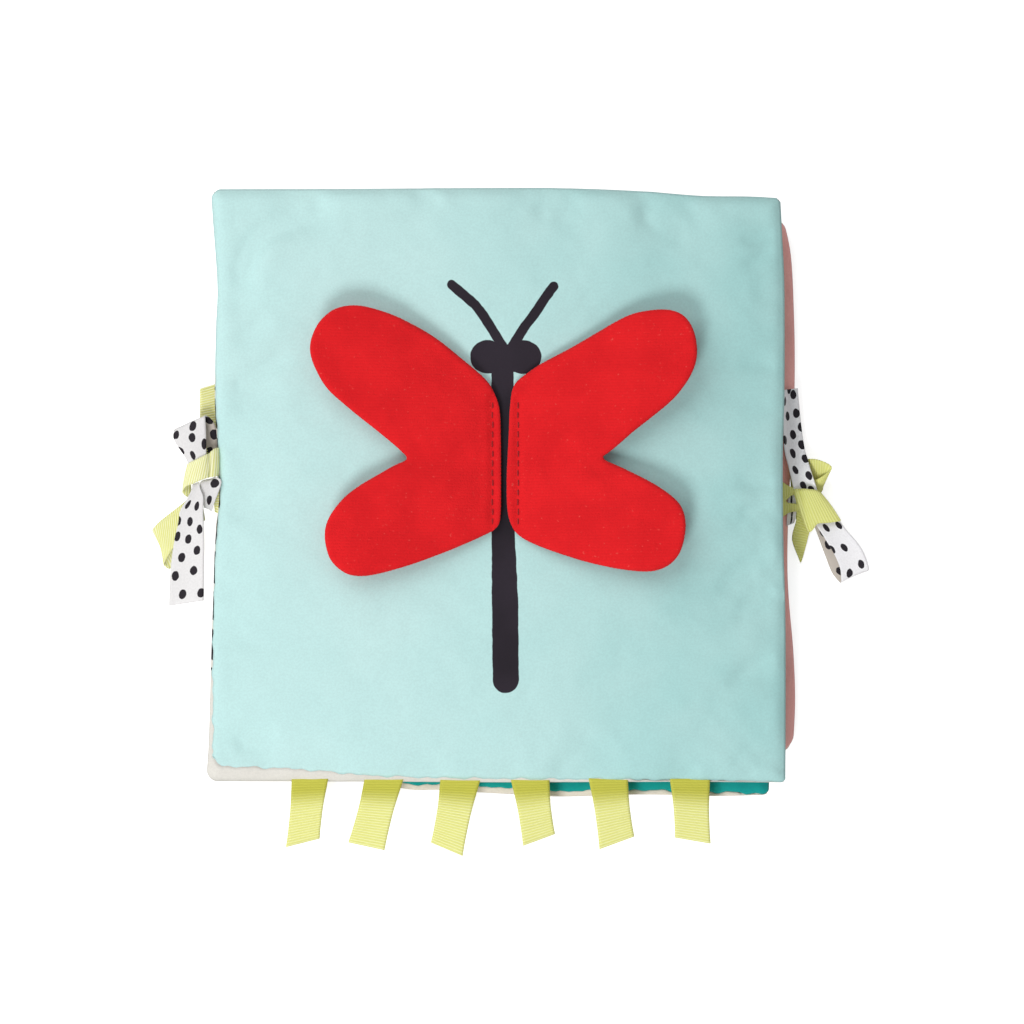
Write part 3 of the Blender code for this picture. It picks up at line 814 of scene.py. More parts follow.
def with_collar(page, rolls, u, v, under):
    """Points and faces of a reverse cloth, whose collar goes round the rim and up to the rolled seam."""
    border = ring_of(np.stack([u, v], -1))
    seam_u, seam_v = drawn_in(page, rolls, border[:, 0], border[:, 1], SEAM_ALLOWANCE)
    rolled_u, rolled_v = drawn_in(page, rolls, border[:, 0], border[:, 1])
    tucked = np.hypot(seam_u - rolled_u, seam_v - rolled_v) > 1e-6
    points, faces = [under.reshape(-1, 3)], [grid_faces(*u.shape, flip=True)]
    last = ring_of(np.arange(u.size).reshape(u.shape))
    for step in range(COLLAR_STEPS):
        share = (step + 1) / COLLAR_STEPS
        made = page.upper(
            border[:, 0] + share * (seam_u - border[:, 0]), border[:, 1] + share * (seam_v - border[:, 1])
        )
        made[:, 2] -= tucked * share * SEAM_TUCK * CLOTH_THICKNESS
        points.append(made)
        new = u.size + step * len(last) + np.arange(len(last))
        faces.append(np.stack([last, np.roll(last, -1), np.roll(new, -1), new], 1))
        last = new
    return np.concatenate(points), np.concatenate(faces)


def page_cloths(page, rolls, top_finish, reverse_finish_, names, body, nodes, slots, flat_below=None):
    """The two cloths of a page, whose common seam is rolled up over some edges."""
    cols = round(page.width / PAGE_CELL) * FINE_SHARE
    rows = round(page.height / PAGE_CELL) * FINE_SHARE
    u, v = np.meshgrid(wave_rows(cols + 1, near_edge=0.35), wave_rows(rows + 1, near_edge=0.35))
    top = page.upper(*drawn_in(page, rolls, u, v))
    upper_cloth = add_mesh(names[0], top.reshape(-1, 3), grid_faces(*u.shape), top_finish)
    lower_cloth = add_mesh(
        names[1], *with_collar(page, rolls, u, v, page.lower(u, v, flat_below)), reverse_finish_
    )
    for cloth, node, slot in zip((upper_cloth, lower_cloth), nodes, slots):
        thicken(cloth, CLOTH_THICKNESS, -1)
        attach(cloth, body)
        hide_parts(node)
    return upper_cloth, lower_cloth


def page_filling(page, names, body, nodes, wadding, film):
    """The padding of a page, and the crackling film that lies on it."""
    count = PADDING_COUNT
    even = np.linspace(-PADDING_REACH, PADDING_REACH, count)
    u, v = np.meshgrid(even, even)
    upper = page.upper(u, v).reshape(-1, 3) - (0, 0, PADDING_INSET)
    lower = page.lower(u, v).reshape(-1, 3) + (0, 0, CLOTH_THICKNESS * 2)
    upper[:, 2] = np.maximum(upper[:, 2], lower[:, 2] + LEAST_PADDING)
    ring = ring_of(np.arange(count * count).reshape(count, count))
    low = ring + count * count
    sides = np.stack([ring, low, np.roll(low, -1), np.roll(ring, -1)], 1)
    faces = [grid_faces(count, count), grid_faces(count, count, True, count * count), sides]
    pad = add_mesh(names[0], np.concatenate([upper, lower]), np.concatenate(faces), wadding)
    u, v = u * FILM_REACH, v * FILM_REACH
    crackle = np.random.default_rng(FILM_SEED).normal(0, FILM_CRACKLE, u.size)
    film_points = page.upper(u, v).reshape(-1, 3)
    film_points[:, 2] += crackle - FILM_INSET
    sheet = add_mesh(names[1], film_points, grid_faces(count, count), film)
    thicken(sheet, FILM_THICKNESS)
    for piece, node, slot in zip((pad, sheet), nodes, ("wadding", "crinkle_film")):
        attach(piece, body)
        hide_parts(node)


# Outlines in pixels of the photograph, at the height of each page's seam
COVER_SIDES = {
    "bottom": ((206, 781.5), (300, 781.5), (400, 781.8), (500, 782.3), (600, 782), (700, 781.8),
        (784.5, 782.5)),
    "right": (
        (784.5, 782.5), (784.8, 700), (784.5, 610), (783, 560), (782, 500), (782.2, 440), (783.6, 390),
        (783.6, 290),
        (781.3, 235), (779.5, 199),
    ),
    "top": ((211.5, 190), (330, 189.8), (450, 189), (560, 189), (640, 192), (700, 196.5), (750, 197.3),
        (779.5, 199)),
    "left": (
        (206, 781.5), (208.7, 740), (211, 660), (213, 600), (215, 545), (219.5, 490), (217.2, 442),
        (214.8, 400),
        (216, 330), (217.6, 285), (213, 215), (211.5, 190),
    ),
}
MIDDLE_SIDES = {
    "bottom": (
        (215, 774), (300, 776), (360, 781), (410, 789.5), (440, 790), (500, 793.6), (560, 796.5),
        (640, 794.5),
        (711, 796), (768, 795),
    ),
    "right": ((768, 795), (771, 650), (772, 500), (771, 350), (768, 206)),
    "top": ((219, 200), (400, 197), (600, 199), (768, 206)),
    "left": ((215, 774), (219, 500), (219, 200)),
}
BACK_SIDES = {
    "bottom": ((224, 757), (400, 762), (600, 765), (700, 764), (792, 752)),
    "right": (
        (792, 752), (794.3, 700), (792.4, 650), (788, 600), (786.5, 560), (788, 500), (792.5, 430),
        (793.9, 370),
        (793, 310), (790, 255), (782, 216),
    ),
    "top": ((226, 216), (400, 213), (600, 212), (782, 216)),
    "left": ((224, 757), (227, 500), (226, 216)),
}
COVER_CORNERS = {(-1, -1): 0.0042, (-1, 1): 0.0032, (1, -1): 0.0012, (1, 1): 0.001}
MIDDLE_CORNERS = {(-1, -1): 0.002, (-1, 1): 0.002, (1, -1): 0.002, (1, 1): 0.002}
BACK_CORNERS = {(-1, -1): 0.002, (-1, 1): 0.002, (1, -1): 0.006, (1, 1): 0.005}
NO_ROLL = ((0, -0.0003), (1, -0.0003))
COVER_ROLLS = {
    "bottom": (
        (0, 0.0078), (0.008, 0.0062), (0.025, 0.0051), (0.06, 0.0049), (0.14, 0.0044), (0.21, 0.0033),
        (0.28, 0.0020),
        (0.38, 0.0014), (0.6, 0.0010), (0.9, 0.0005), (1, 0.0001),
    ),
    "right": NO_ROLL,
    "top": NO_ROLL,
    "left": ((0, 0.0019), (0.1, 0.0013), (0.2, 0.0006), (0.3, 0.00035), (0.66, 0.0003), (0.7, 0),
        (1, -0.0002)),
}
MIDDLE_ROLLS = {
    "bottom": ((0, 0.0012), (0.4, 0.0018), (0.53, 0.0020), (0.64, 0.0017), (0.8, 0.0014), (0.93, 0.0012),
        (1, 0.0002)),
    "right": NO_ROLL, "top": NO_ROLL, "left": NO_ROLL,
}
BACK_ROLLS = {"bottom": NO_ROLL, "right": NO_ROLL, "top": NO_ROLL, "left": NO_ROLL}

CREASE_SHARE = 2.2
# Soft creases of the cover: the line in pixels, the half width and the height in metres
COVER_CREASES = (
    (((300, 222), (262, 236), (246, 262), (243, 296)), 0.0040, -0.0011),
    (((312, 232), (276, 248), (261, 270), (256, 304)), 0.0050, 0.0004),
    (((330, 214), (300, 216), (270, 222)), 0.005, -0.0005),
    (((232, 348), (252, 330), (272, 318)), 0.0036, -0.0006),
    (((232, 390), (262, 370), (292, 352)), 0.0034, -0.0008),
    (((232, 412), (258, 396), (284, 384)), 0.0034, -0.0006),
    (((228, 520), (250, 500), (268, 470)), 0.006, -0.0006),
    (((232, 745), (255, 738), (280, 742)), 0.006, -0.0006),
    (((776, 232), (758, 238), (740, 240)), 0.0026, -0.0005),
    (((778, 247), (760, 256), (744, 268)), 0.0026, -0.0005),
    (((778, 365), (758, 362), (738, 366)), 0.003, -0.0005),
    (((778, 482), (756, 484), (736, 480)), 0.003, -0.0006),
    (((778, 500), (752, 510), (730, 526)), 0.003, -0.0006),
    (((776, 545), (744, 566), (716, 592)), 0.0032, -0.0007),
    (((776, 590), (752, 604), (732, 622)), 0.003, -0.0006),
    (((776, 655), (750, 668), (728, 690)), 0.0032, -0.0006),
    (((540, 194), (543, 208), (549, 224)), 0.003, -0.0004),
    (((650, 198), (648, 212), (642, 230)), 0.003, -0.0004),
)


def make_pages(finishes):
    pages = {
        "front": Page("front", COVER_SIDES, COVER_CORNERS, 11),
        "middle": Page("middle", MIDDLE_SIDES, MIDDLE_CORNERS, 12),
        "back": Page("back", BACK_SIDES, BACK_CORNERS, 13),
    }
    pages["front"].creases = [
        crease(line, width, height * CREASE_SHARE) for line, width, height in COVER_CREASES
    ]
    looks = {
        "front": ("aqua", "striped", COVER_ROLLS, ("aqua_cloth", "white_cloth")),
        "middle": ("teal", "cream", MIDDLE_ROLLS, ("teal_cloth", "cream_cloth")),
        "back": ("pink", "cream_dots", BACK_ROLLS, ("pink_cloth", "cream_cloth")),
    }
    for name, (top, reverse, rolls, slots) in looks.items():
        body = name + "_panel"
        page_cloths(
            pages[name], rolls, finishes[top], finishes[reverse],
            (name + "_page_cloth", name + "_page_reverse", name + "_page_padding"), body,
            (name + "_top_cloth", name + "_reverse_cloth"), slots,
            flat_below=CLOTH_THICKNESS if name == "back" else None,
        )
        page_filling(
            pages[name], (name + "_page_padding", name + "_page_film"), body,
            (name + "_wadding", name + "_crinkle_film"), finishes["wadding"], finishes["film"],
        )
    return pages


# Folds between the pages
FOLD_BULGE = 0.0044
FOLD_ROWS = 160
FOLD_COLS = 17
FOLD_END_GAP = 0.004
FOLD_CAD_GAP = 0.0003
FOLD_WRAP = 0.012
# Heights and lengths of the waves along a fold
FOLD_RIPPLES = ((0.00025, 0.017), (0.00015, 0.0071))


def make_fold(name, side, upper, lower, node, finish):
    """A strip of cloth that bows outwards between two pages' seams."""
    rows, cols = FOLD_ROWS, FOLD_COLS
    low = max(upper.sides[0][:, 1].min(), lower.sides[0][:, 1].min()) + FOLD_END_GAP
    high = min(upper.sides[1][:, 1].max(), lower.sides[1][:, 1].max()) - FOLD_END_GAP
    number = 3 if side > 0 else 2
    y = np.linspace(low, high, rows)
    turn = np.linspace(0, math.pi, cols)
    edge_u = np.interp(y, upper.sides[number][:, 1], upper.sides[number][:, 0])
    edge_l = np.interp(y, lower.sides[number][:, 1], lower.sides[number][:, 0])
    share = (1 - np.cos(turn)) / 2
    ripple = sum(height * np.sin(y * 2 * math.pi / length) for height, length in FOLD_RIPPLES)
    limit = abs(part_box(node)[1].x if side > 0 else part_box(node)[0].x) - FOLD_CAD_GAP
    x = edge_u[:, None] * (1 - share) + edge_l[:, None] * share
    bow = limit - np.abs(x)
    x = x + side * np.sin(turn) * np.minimum(np.maximum(bow, 0) + ripple[:, None], FOLD_BULGE)
    z = upper.seam + (lower.seam - upper.seam) * share
    points = np.stack([x, np.repeat(y[:, None], cols, 1), np.repeat(z[None], rows, 0)], -1)
    around = turn / math.pi * FOLD_WRAP
    flat = np.stack([np.repeat(around[None], rows, 0), np.repeat(y[:, None], cols, 1)], -1)
    faces = grid_faces(rows, cols, side < 0)
    obj = add_mesh(name, points.reshape(-1, 3), faces, finish, flat.reshape(-1, 2))
    thicken(obj, CLOTH_THICKNESS)
    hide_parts(node)
    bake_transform(obj)


# Wings

# Outlines in pixels of the photograph, from the top of the sewn edge round both lobes
LEFT_WING = (
    (497, 398), (487, 380), (462, 358), (433.5, 335.5), (402, 318), (373, 307.5), (352, 304.5),
    (333, 309), (319, 321),
    (311, 337), (309.5, 352), (315, 369), (327, 389), (350, 410), (376, 431), (393, 445), (404, 455),
    (407, 458.3), (402, 461), (393, 465),
    (376, 475), (358, 486), (344, 497), (333, 510), (326, 523), (324, 536), (326, 550), (331, 562),
    (341, 571.5),
    (353, 576.5), (372, 576), (405, 567.5), (435, 557), (462, 546), (485, 535.5), (496, 529), (501, 518),
    (501.7, 480), (501.5, 440), (500.5, 412),
)
RIGHT_WING = (
    (508.2, 432), (509.2, 408), (513, 386), (525, 374), (542.6, 362), (572, 346), (602, 328.5),
    (628.7, 314.5),
    (650, 309.5), (669, 309), (682, 313.5), (691, 323), (696.5, 338), (697.6, 356), (693, 372), (684, 387),
    (672, 401), (653, 417), (634, 432), (618, 446), (608, 453.8), (603, 457.4), (609.5, 461), (627, 469),
    (652, 482), (670, 494), (681, 505),
    (685.8, 518), (686, 533), (681.5, 551), (673, 563), (661, 570), (646, 572.5), (620, 570), (591, 564),
    (563, 555.5), (537, 546), (520, 537), (511.5, 527), (506.8, 510), (506, 480), (507, 455),
)
WING_CELL = 0.0014
WING_START = 0.0007
ROLL_RADIUS = 0.0018
ROLL_HEIGHT = 0.0012
WING_RIM_POINTS = 230
WING_PRESSURE = 3
WING_FRAMES = 12
WING_GROWTH = 0.0001
VALLEY_DEPTH = 0.0012
VALLEY_WIDTH = 0.006
VALLEY_SLANT = 0.3
LOW_VALLEY_SHARE = 0.6
SWELL_REACH = 0.012
ROOT_MARGIN = 0.001
WING_RISE_CAP = 0.0034
WING_DROP_CAP = 0.0016
HEM_HALF = 0.0008
GROOVE_DEPTH = 0.0009
GROOVE_WIDTH = 0.0011
STITCH_COUNT = 13
STITCH_LENGTH = 0.0023
STITCH_RADIUS = 0.00026


class Wing:
    """A wing's measures, read from the frame's joint and nodes."""

    def __init__(self, name, side, pixels):
        self.name = name
        self.side = side
        joint = next(j for j in frame["joints"] if j["child"] == name)
        self.axis_x, _, self.axis_z = joint["pos_m"]
        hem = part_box(name + "_hem")
        self.hem_z = (hem[0].z + hem[1].z) / 2
        self.stitch_x = self.axis_x - side * 0.00015
        self.root = (hem[0].y, hem[1].y)
        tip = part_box(name + "_front")
        reach = abs((tip[0].x if side < 0 else tip[1].x) - self.axis_x)
        self.slope = (tip[1].z - self.axis_z - 0.0018) / reach
        self.outline = grown(self.placed(pixels), WING_GROWTH)
        self.notch = min(self.outline[8:-14], key=lambda point: abs(point[0] - self.axis_x))

    def lift(self, x):
        """The height of the wing's middle layer at a distance from the sewn edge."""
        out = np.maximum((x - self.axis_x) * self.side, 0)
        soft = np.where(out < 0.006, out**2 / 0.012, out - 0.003)
        return self.hem_z + soft * self.slope

    def placed(self, pixels):
        points = []
        for px, py in pixels:
            height = self.axis_z
            for _ in range(4):
                place = seen(px, py, height)
                height = float(self.lift(np.array(place.x)))
            points.append((place.x, place.y))
        return points


def grown(outline, distance):
    """A closed outline moved outwards by a distance."""
    line = np.asarray(outline)
    along = np.roll(line, -1, 0) - np.roll(line, 1, 0)
    along /= np.linalg.norm(along, axis=1, keepdims=True)
    area = (line[:, 0] * np.roll(line[:, 1], -1) - np.roll(line[:, 0], -1) * line[:, 1]).sum()
    outward = np.stack([along[:, 1], -along[:, 0]], 1) * np.sign(area)
    return line + outward * distance


def filled_outline(outline, cell):
    """Points inside a closed outline and its triangles; the outline's own points come first."""
    inner = even_line(grown(outline, -cell * 0.8), round(len(outline) * 0.9), closed=True)
    low, high = outline.min(0), outline.max(0)
    x, y = np.meshgrid(np.arange(low[0], high[0], cell), np.arange(low[1], high[1], cell * 0.87))
    x[::2] += cell / 2
    spread = np.stack([x.ravel(), y.ravel()], 1)
    spread = spread[inside_outline(spread, outline) & (inside_distance(spread, outline) > cell * 1.5)]
    points = [Vector(point) for point in np.concatenate([outline, inner, spread])]
    ring = [(i, (i + 1) % len(outline)) for i in range(len(outline))]
    made = delaunay_2d_cdt(points, ring, [], 1, 1e-7)
    return np.array([tuple(point) for point in made[0]]), [tuple(face) for face in made[2]]


def inside_outline(points, outline):
    """Whether each point is inside a closed outline."""
    inside = np.zeros(len(points), bool)
    for (ax, ay), (bx, by) in zip(outline, np.roll(outline, -1, 0)):
        if ay != by:
            crosses = (ay > points[:, 1]) != (by > points[:, 1])
            inside ^= crosses & (points[:, 0] < (bx - ax) * (points[:, 1] - ay) / (by - ay) + ax)
    return inside


def stuffed(name, outline, pinned, cell, start, pressure, frames):
    """Cloth simulation of a stuffed flat shape: points and faces. pinned tells which points stay."""
    flat, triangles = filled_outline(outline, cell)
    rim = inside_distance(flat, outline) < cell * 0.05
    count = len(flat)
    lower = np.arange(count)
    lower[~rim] = count + np.arange((~rim).sum())
    top = np.column_stack([flat, np.where(rim, 0, start)])
    bottom = np.column_stack([flat, np.full(count, -start)])[~rim]
    faces = triangles + [tuple(int(i) for i in lower[list(face)[::-1]]) for face in triangles]
    points = np.concatenate([top, bottom])
    sewn = [i for i, point in enumerate(points) if pinned(point)]
    settings = {"uniform_pressure_force": pressure, "bending_stiffness": 0.5, "vertex_group_mass": SEWN}
    return inflated(name + "_cloth", points, faces, sewn, frames, settings), faces


def inside_distance(points, outline):
    """How far each point is from an outline, as x and y."""
    line = np.asarray(outline)
    nearest = np.full(len(points), 1.0)
    for a, b in zip(line, np.roll(line, -1, 0)):
        run = b - a
        share = np.clip(((points - a) @ run) / (run @ run), 0, 1)
        nearest = np.minimum(nearest, np.linalg.norm(points - a - share[:, None] * run, axis=1))
    return nearest


def wing_points(wing, start, outline):
    """Simulated points with a round rim, capped swells, a valley at the notch and the stitches' groove."""
    rim = inside_distance(start[:, :2], outline)
    out = (start[:, 0] - wing.axis_x) * wing.side
    swell = np.clip(out / SWELL_REACH, 0, 1)
    rolled = np.sqrt(np.clip(1 - (1 - np.clip(rim / ROLL_RADIUS, 0, 1)) ** 2, 0, 1)) * ROLL_HEIGHT
    z = np.sign(start[:, 2]) * np.maximum(np.abs(start[:, 2]), rolled)
    z = np.where(rim < WING_CELL * 0.05, 0, z)
    up_cap = HEM_HALF + (WING_RISE_CAP - HEM_HALF) * swell
    low_cap = HEM_HALF + (WING_DROP_CAP - HEM_HALF) * swell
    z = np.where(z > 0, up_cap * np.tanh(z / up_cap), -low_cap * np.tanh(-z / low_cap))
    in_root = (start[:, 1] > wing.root[0] - ROOT_MARGIN) & (start[:, 1] < wing.root[1] + ROOT_MARGIN)
    notch = wing.notch
    inwards = np.clip((notch[0] - start[:, 0]) / (notch[0] - wing.axis_x), 0, 1)
    beside = start[:, 1] - notch[1] * (1 - inwards * VALLEY_SLANT)
    valley = VALLEY_DEPTH * np.exp(-((beside / VALLEY_WIDTH) ** 2)) * swell
    z = z - valley * np.where(start[:, 2] > 0, 1, LOW_VALLEY_SHARE)
    groove = GROOVE_DEPTH * np.exp(-(((start[:, 0] - wing.stitch_x) / GROOVE_WIDTH) ** 2)) * in_root
    z = z - groove * (start[:, 2] > 0)
    lift = wing.lift(start[:, 0])
    return np.stack([start[:, 0], start[:, 1], z + lift], 1)


def make_wing(name, side, pixels, finish, thread):
    wing = Wing(name, side, pixels)
    outline = even_line(smooth_line(wing.outline, 0.1, closed=True), WING_RIM_POINTS, closed=True)

    def pinned(point):
        return (point[0] - wing.axis_x) * side < 0.0006

    start, faces = stuffed(name, outline, pinned, WING_CELL, WING_START, WING_PRESSURE, WING_FRAMES)
    points = wing_points(wing, start, outline)
    obj = add_mesh(name + "_plush", points, faces, finish)
    fine = obj.modifiers.new("Fine", "SUBSURF")
    fine.levels = fine.render_levels = 1
    bake_modifiers(obj)
    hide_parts(name + "_front", name + "_back", name + "_wadding", name + "_hem")
    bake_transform(obj)
    make_stitches(wing, thread)
    return wing


def bake_modifiers(obj):
    """Applies an object's modifiers to its mesh."""
    made = bpy.data.meshes.new_from_object(obj.evaluated_get(bpy.context.evaluated_depsgraph_get()))
    obj.modifiers.clear()
    obj.data = made


def tube(path, radius, sides=8):
    """Points and faces of a closed tube along a path."""
    path = np.asarray(path, float)
    run = np.gradient(path, axis=0)
    run /= np.linalg.norm(run, axis=1, keepdims=True)
    side = np.cross(run, (0, 0, 1.0))
    side /= np.linalg.norm(side, axis=1, keepdims=True)
    up = np.cross(side, run)
    turn = np.linspace(0, 2 * math.pi, sides, endpoint=False)
    taper = np.sqrt(np.clip(1 - np.linspace(-1, 1, len(path)) ** 6, 0.15, 1)) * radius
    ring = np.cos(turn)[None, :, None] * side[:, None] + np.sin(turn)[None, :, None] * up[:, None]
    points = (path[:, None] + ring * taper[:, None, None]).reshape(-1, 3)
    faces = []
    for i in range(len(path) - 1):
        for j in range(sides):
            k = (j + 1) % sides
            faces.append((i * sides + j, i * sides + k, (i + 1) * sides + k, (i + 1) * sides + j))
    faces.append(tuple(range(sides))[::-1])
    faces.append(tuple((len(path) - 1) * sides + j for j in range(sides)))
    return points, faces


def make_stitches(wing, finish):
    """A row of short dashes of thread along the sewn edge."""
    points, faces = [], []
    pitch = (wing.root[1] - wing.root[0] - 0.002) / STITCH_COUNT
    top = wing.hem_z + HEM_HALF - GROOVE_DEPTH
    for number in range(STITCH_COUNT):
        middle = wing.root[0] + 0.001 + pitch * (number + 0.5)
        share = np.linspace(-1, 1, 9)
        path = np.stack([
            np.full(9, wing.stitch_x) + 0.0001 * math.sin(number * 2.1), middle + share * STITCH_LENGTH / 2,
            top + 0.00045 * (1 - share**4) - 0.0001,
        ], 1)
        made, sides = tube(path, STITCH_RADIUS)
        faces += [tuple(i + len(points) for i in face) for face in sides]
        points += made.tolist()
    obj = add_mesh(wing.name + "_stitches", points, faces, finish)
    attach(obj, "front_panel")


# Ribbons


def edge_line(points, count):
    """A ribbon's edge through listed pixels of the photograph and heights in millimetres."""
    places = [tuple(seen(px, py, mm / 1000)) for px, py, mm in points]
    return even_line(smooth_line(places, 0.05), count)


def pixels_of(points):
    """Where points of the frame show in the photograph."""
    away = np.asarray(points) - np.array(CAMERA_PLACE)
    depth = away @ np.array(-TO_CAMERA) * HALF_VIEW
    half = PHOTO_PIXELS / 2
    up = away @ np.array(CAMERA_UP)
    return np.stack([half + half * away[..., 0] / depth, half - half * up / depth], -1)


class Ribbon:
    """A ribbon between two edges that the photograph shows, and each point's place on the flat ribbon."""

    def __init__(self, left, right, width, arch=0.0, ribs=False, across=14, step=RIBBON_STEP):
        rough = (edge_line(left, 60) + edge_line(right, 60)) / 2
        rows = max(12, round(np.linalg.norm(np.diff(rough, axis=0), axis=1).sum() / step))
        a, b = edge_line(left, rows), edge_line(right, rows)
        share = np.linspace(0, 1, across)
        along = unit_rows(np.gradient((a + b) / 2, axis=0))
        normal = np.cross(unit_rows(b - a), along)
        run = np.concatenate([[0], np.cumsum(np.linalg.norm(np.diff((a + b) / 2, axis=0), axis=1))])
        lift = np.repeat(arch * np.sin(math.pi * share)[None], rows, 0)
        if ribs:
            lift = lift + RIB_DEPTH * np.sin(run * 2 * math.pi / RIB_PITCH)[:, None]
        self.points = a[:, None] * (1 - share)[None, :, None] + b[:, None] * share[None, :, None]
        self.points = self.points + normal[:, None] * lift[..., None]
        flat_x = np.repeat((share * width)[None], rows, 0)
        self.flat = np.stack([flat_x, np.repeat(run[:, None], across, 1)], -1)
        self.width, self.length = width, run[-1]
        self.rows, self.across = rows, across

    def on_flat(self, px, py, low=0.0, high=1.0):
        """The place on the flat ribbon of what shows at a pixel, between two shares of its length."""
        rows = slice(int(self.rows * low), max(int(self.rows * high), 1))
        away = np.linalg.norm(pixels_of(self.points[rows]) - (px, py), axis=-1)
        nearest = np.unravel_index(away.argmin(), away.shape)
        return self.flat[rows][nearest]

    def add(self, name, finish, body, slot, bends=False):
        """The ribbon's mesh, which turns with its body; with bends, its modifiers and place are applied and
        it is left unattached.
        """
        faces = grid_faces(self.rows, self.across)
        obj = add_mesh(name, self.points.reshape(-1, 3), faces, finish, self.flat.reshape(-1, 2))
        thicken(obj, RIBBON_THICKNESS)
        if not bends:
            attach(obj, body)
            return obj
        bake_modifiers(obj)
        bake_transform(obj)
        return obj


def unit_rows(vectors):
    return vectors / np.maximum(np.linalg.norm(vectors, axis=1, keepdims=True), 1e-9)


# Loops in the bottom seam: top left, top right, bottom left and bottom right, in pixels
TAGS = (
    ((291.5, 781), (328, 781), (286, 846.6), (319.7, 838)),
    ((364, 781), (403, 781), (348.4, 841.8), (384.7, 849.6)),
    ((440, 781.6), (480, 781.6), (431, 842), (462.7, 855.7)),
    ((511, 781), (549.5, 781), (523, 845.3), (555, 833.5)),
    ((589, 781), (628, 781), (599.4, 848.8), (634.3, 836)),
    ((670, 781), (710, 781), (675, 837), (710.6, 843)),
)
TAG_WAIST = (1.2, 1.5, 1.5, 1.4, 1.3, 1.2)
TAG_WIDTH = 0.013
# Where a loop is: shares of its length out from the seam and back, and millimetres over the seam
TAG_HEIGHTS = (
    (-0.04, 0.5), (0.1, 0.9), (0.3, 1.9), (0.55, 1.9), (0.8, 1.2), (0.96, 0.8), (1, 0.1),
    (0.96, -0.6), (0.8, -0.7), (0.4, -0.6), (-0.04, -0.45),
)


def make_tags(finish, seam):
    """Six folded ribbon loops: out from the seam, round the fold and back beneath."""
    for number, (corners, waist) in enumerate(zip(TAGS, TAG_WAIST), 1):
        top_left, top_right, low_left, low_right = (np.array(c, float) for c in corners)
        mm = seam * 1000

        def edge(top, low, bend):
            rows = []
            for share, lift in TAG_HEIGHTS:
                bowed = bend * math.sin(math.pi * min(max(share, 0), 1))
                px, py = top + (low - top) * share + np.array([bowed, 0])
                rows.append((px, py, mm + lift))
            return rows

        left, right = edge(top_left, low_left, waist), edge(top_right, low_right, -waist)
        ribbon = Ribbon(left, right, TAG_WIDTH, ribs=True, step=RIBBED_STEP)
        obj = ribbon.add(f"tag_{number}_ribbon", finish, f"tag_{number}", "green_ribbon")
        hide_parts(f"tag_{number}")


# Ribbons of the ties: each edge is a row of pixel across, pixel down and height in millimetres
GREEN_TIE_WIDTH = 0.0127
DOTTED_TIE_WIDTH = 0.0125
TIE_ARCH = 0.0003
TAIL_ARCH = 0.0015
LEFT_GREEN_END = (
    ((200, 388.6, 19.0), (200, 415, 19.2), (200.5, 440, 19.8), (203, 462, 20.6)),
    ((230, 379.4, 17.3), (230, 415, 17.3), (229, 440, 17.4), (226, 462, 18.5)),
)
LEFT_DOTTED_LOOP = (
    (
        (188.5, 468, 24.6), (187.5, 462, 24.7), (183.5, 454.7, 24.8), (177.5, 446, 24.7),
        (173.5, 438, 24.3),
        (174.3, 430, 23.2), (176, 431, 21.0), (178, 440, 20.2), (184, 452, 20.2), (190, 464, 20.8),
    ),
    (
        (206, 468, 25.0), (206.3, 458, 25.1), (206.3, 447, 25.0), (206, 432, 24.8), (205.4, 420, 24.4),
        (205.6, 415.7, 23.6), (210, 418, 21.8), (215, 425, 20.6), (217.8, 438, 19.6), (216.5, 452, 19.6),
        (210, 464, 20.6),
    ),
)
LEFT_DOTTED_LOOP_DOTS = (
    (0, 0.5, ((192.2, 425.6), (192.6, 438), (174.9, 435.2), (203.8, 444.4), (193, 455.5), (180.8, 450.8))),
    (0.5, 1, ((208.2, 419.7), (214.2, 434.4), (208.6, 452), (190, 436), (182, 444), (196, 452))),
)
LEFT_KNOT = (
    (
        (191, 466, 20.6), (190, 465, 21.8), (187.8, 463.6, 23.6), (189, 462.8, 24.8), (196, 459.5, 25.7),
        (203, 456, 25.9), (207.5, 454, 25.4), (209.5, 453, 24.3), (212, 450.5, 24.5), (215, 448.2, 24.0),
        (218, 447.6, 22.9), (219, 448, 21.6),
    ),
    (
        (192, 498, 20.4), (186, 496.2, 20.9), (182.6, 491.5, 21.8), (186.5, 486.3, 23.6),
        (188.2, 485.4, 24.8),
        (193, 483.8, 25.5), (200, 480.5, 25.8), (207, 478, 25.3), (209, 477.4, 24.0), (212, 477, 24.2),
        (214.5, 476.6, 23.8), (217, 476.3, 22.8), (218.5, 476, 21.4),
    ),
)
LEFT_GREEN_LOOP = (
    (
        (200, 490, 21.0), (190, 497, 20.6), (183, 503.3, 20.3), (171, 512.5, 20.2), (159.8, 521.3, 20.2),
        (153.6, 528, 19.9), (152.9, 531, 19.2), (155, 531, 18.5), (162, 524, 18.2), (175, 514, 18.3),
        (192, 503, 19.5),
    ),
    (
        (205, 520, 21.3), (196, 528, 21.2), (186, 538, 21.2), (178, 544, 21.1), (172, 549.5, 20.8),
        (165, 562, 20.0), (163.9, 565, 19.2), (167.6, 568.3, 18.4), (170.1, 568.7, 18.1), (178, 562, 18.2),
        (190, 548, 18.6), (203, 522, 19.5),
    ),
)
LEFT_DOTTED_TAIL = (
    (
        (193, 484, 24.6), (190.8, 491.2, 24.4), (186, 500.7, 24.2), (180, 511, 23.8), (177.9, 524.8, 23.2),
        (174.5, 539.4, 22.8), (170.6, 568.7, 22.6), (168.9, 605.8, 22.4),
    ),
    (
        (199, 482, 25.0), (200.3, 488.6, 24.8), (203.3, 497.2, 24.4), (203.3, 512.7, 24.0),
        (204.2, 540.3, 23.4),
        (204, 570, 23.1), (203.8, 600.6, 22.9),
    ),
)
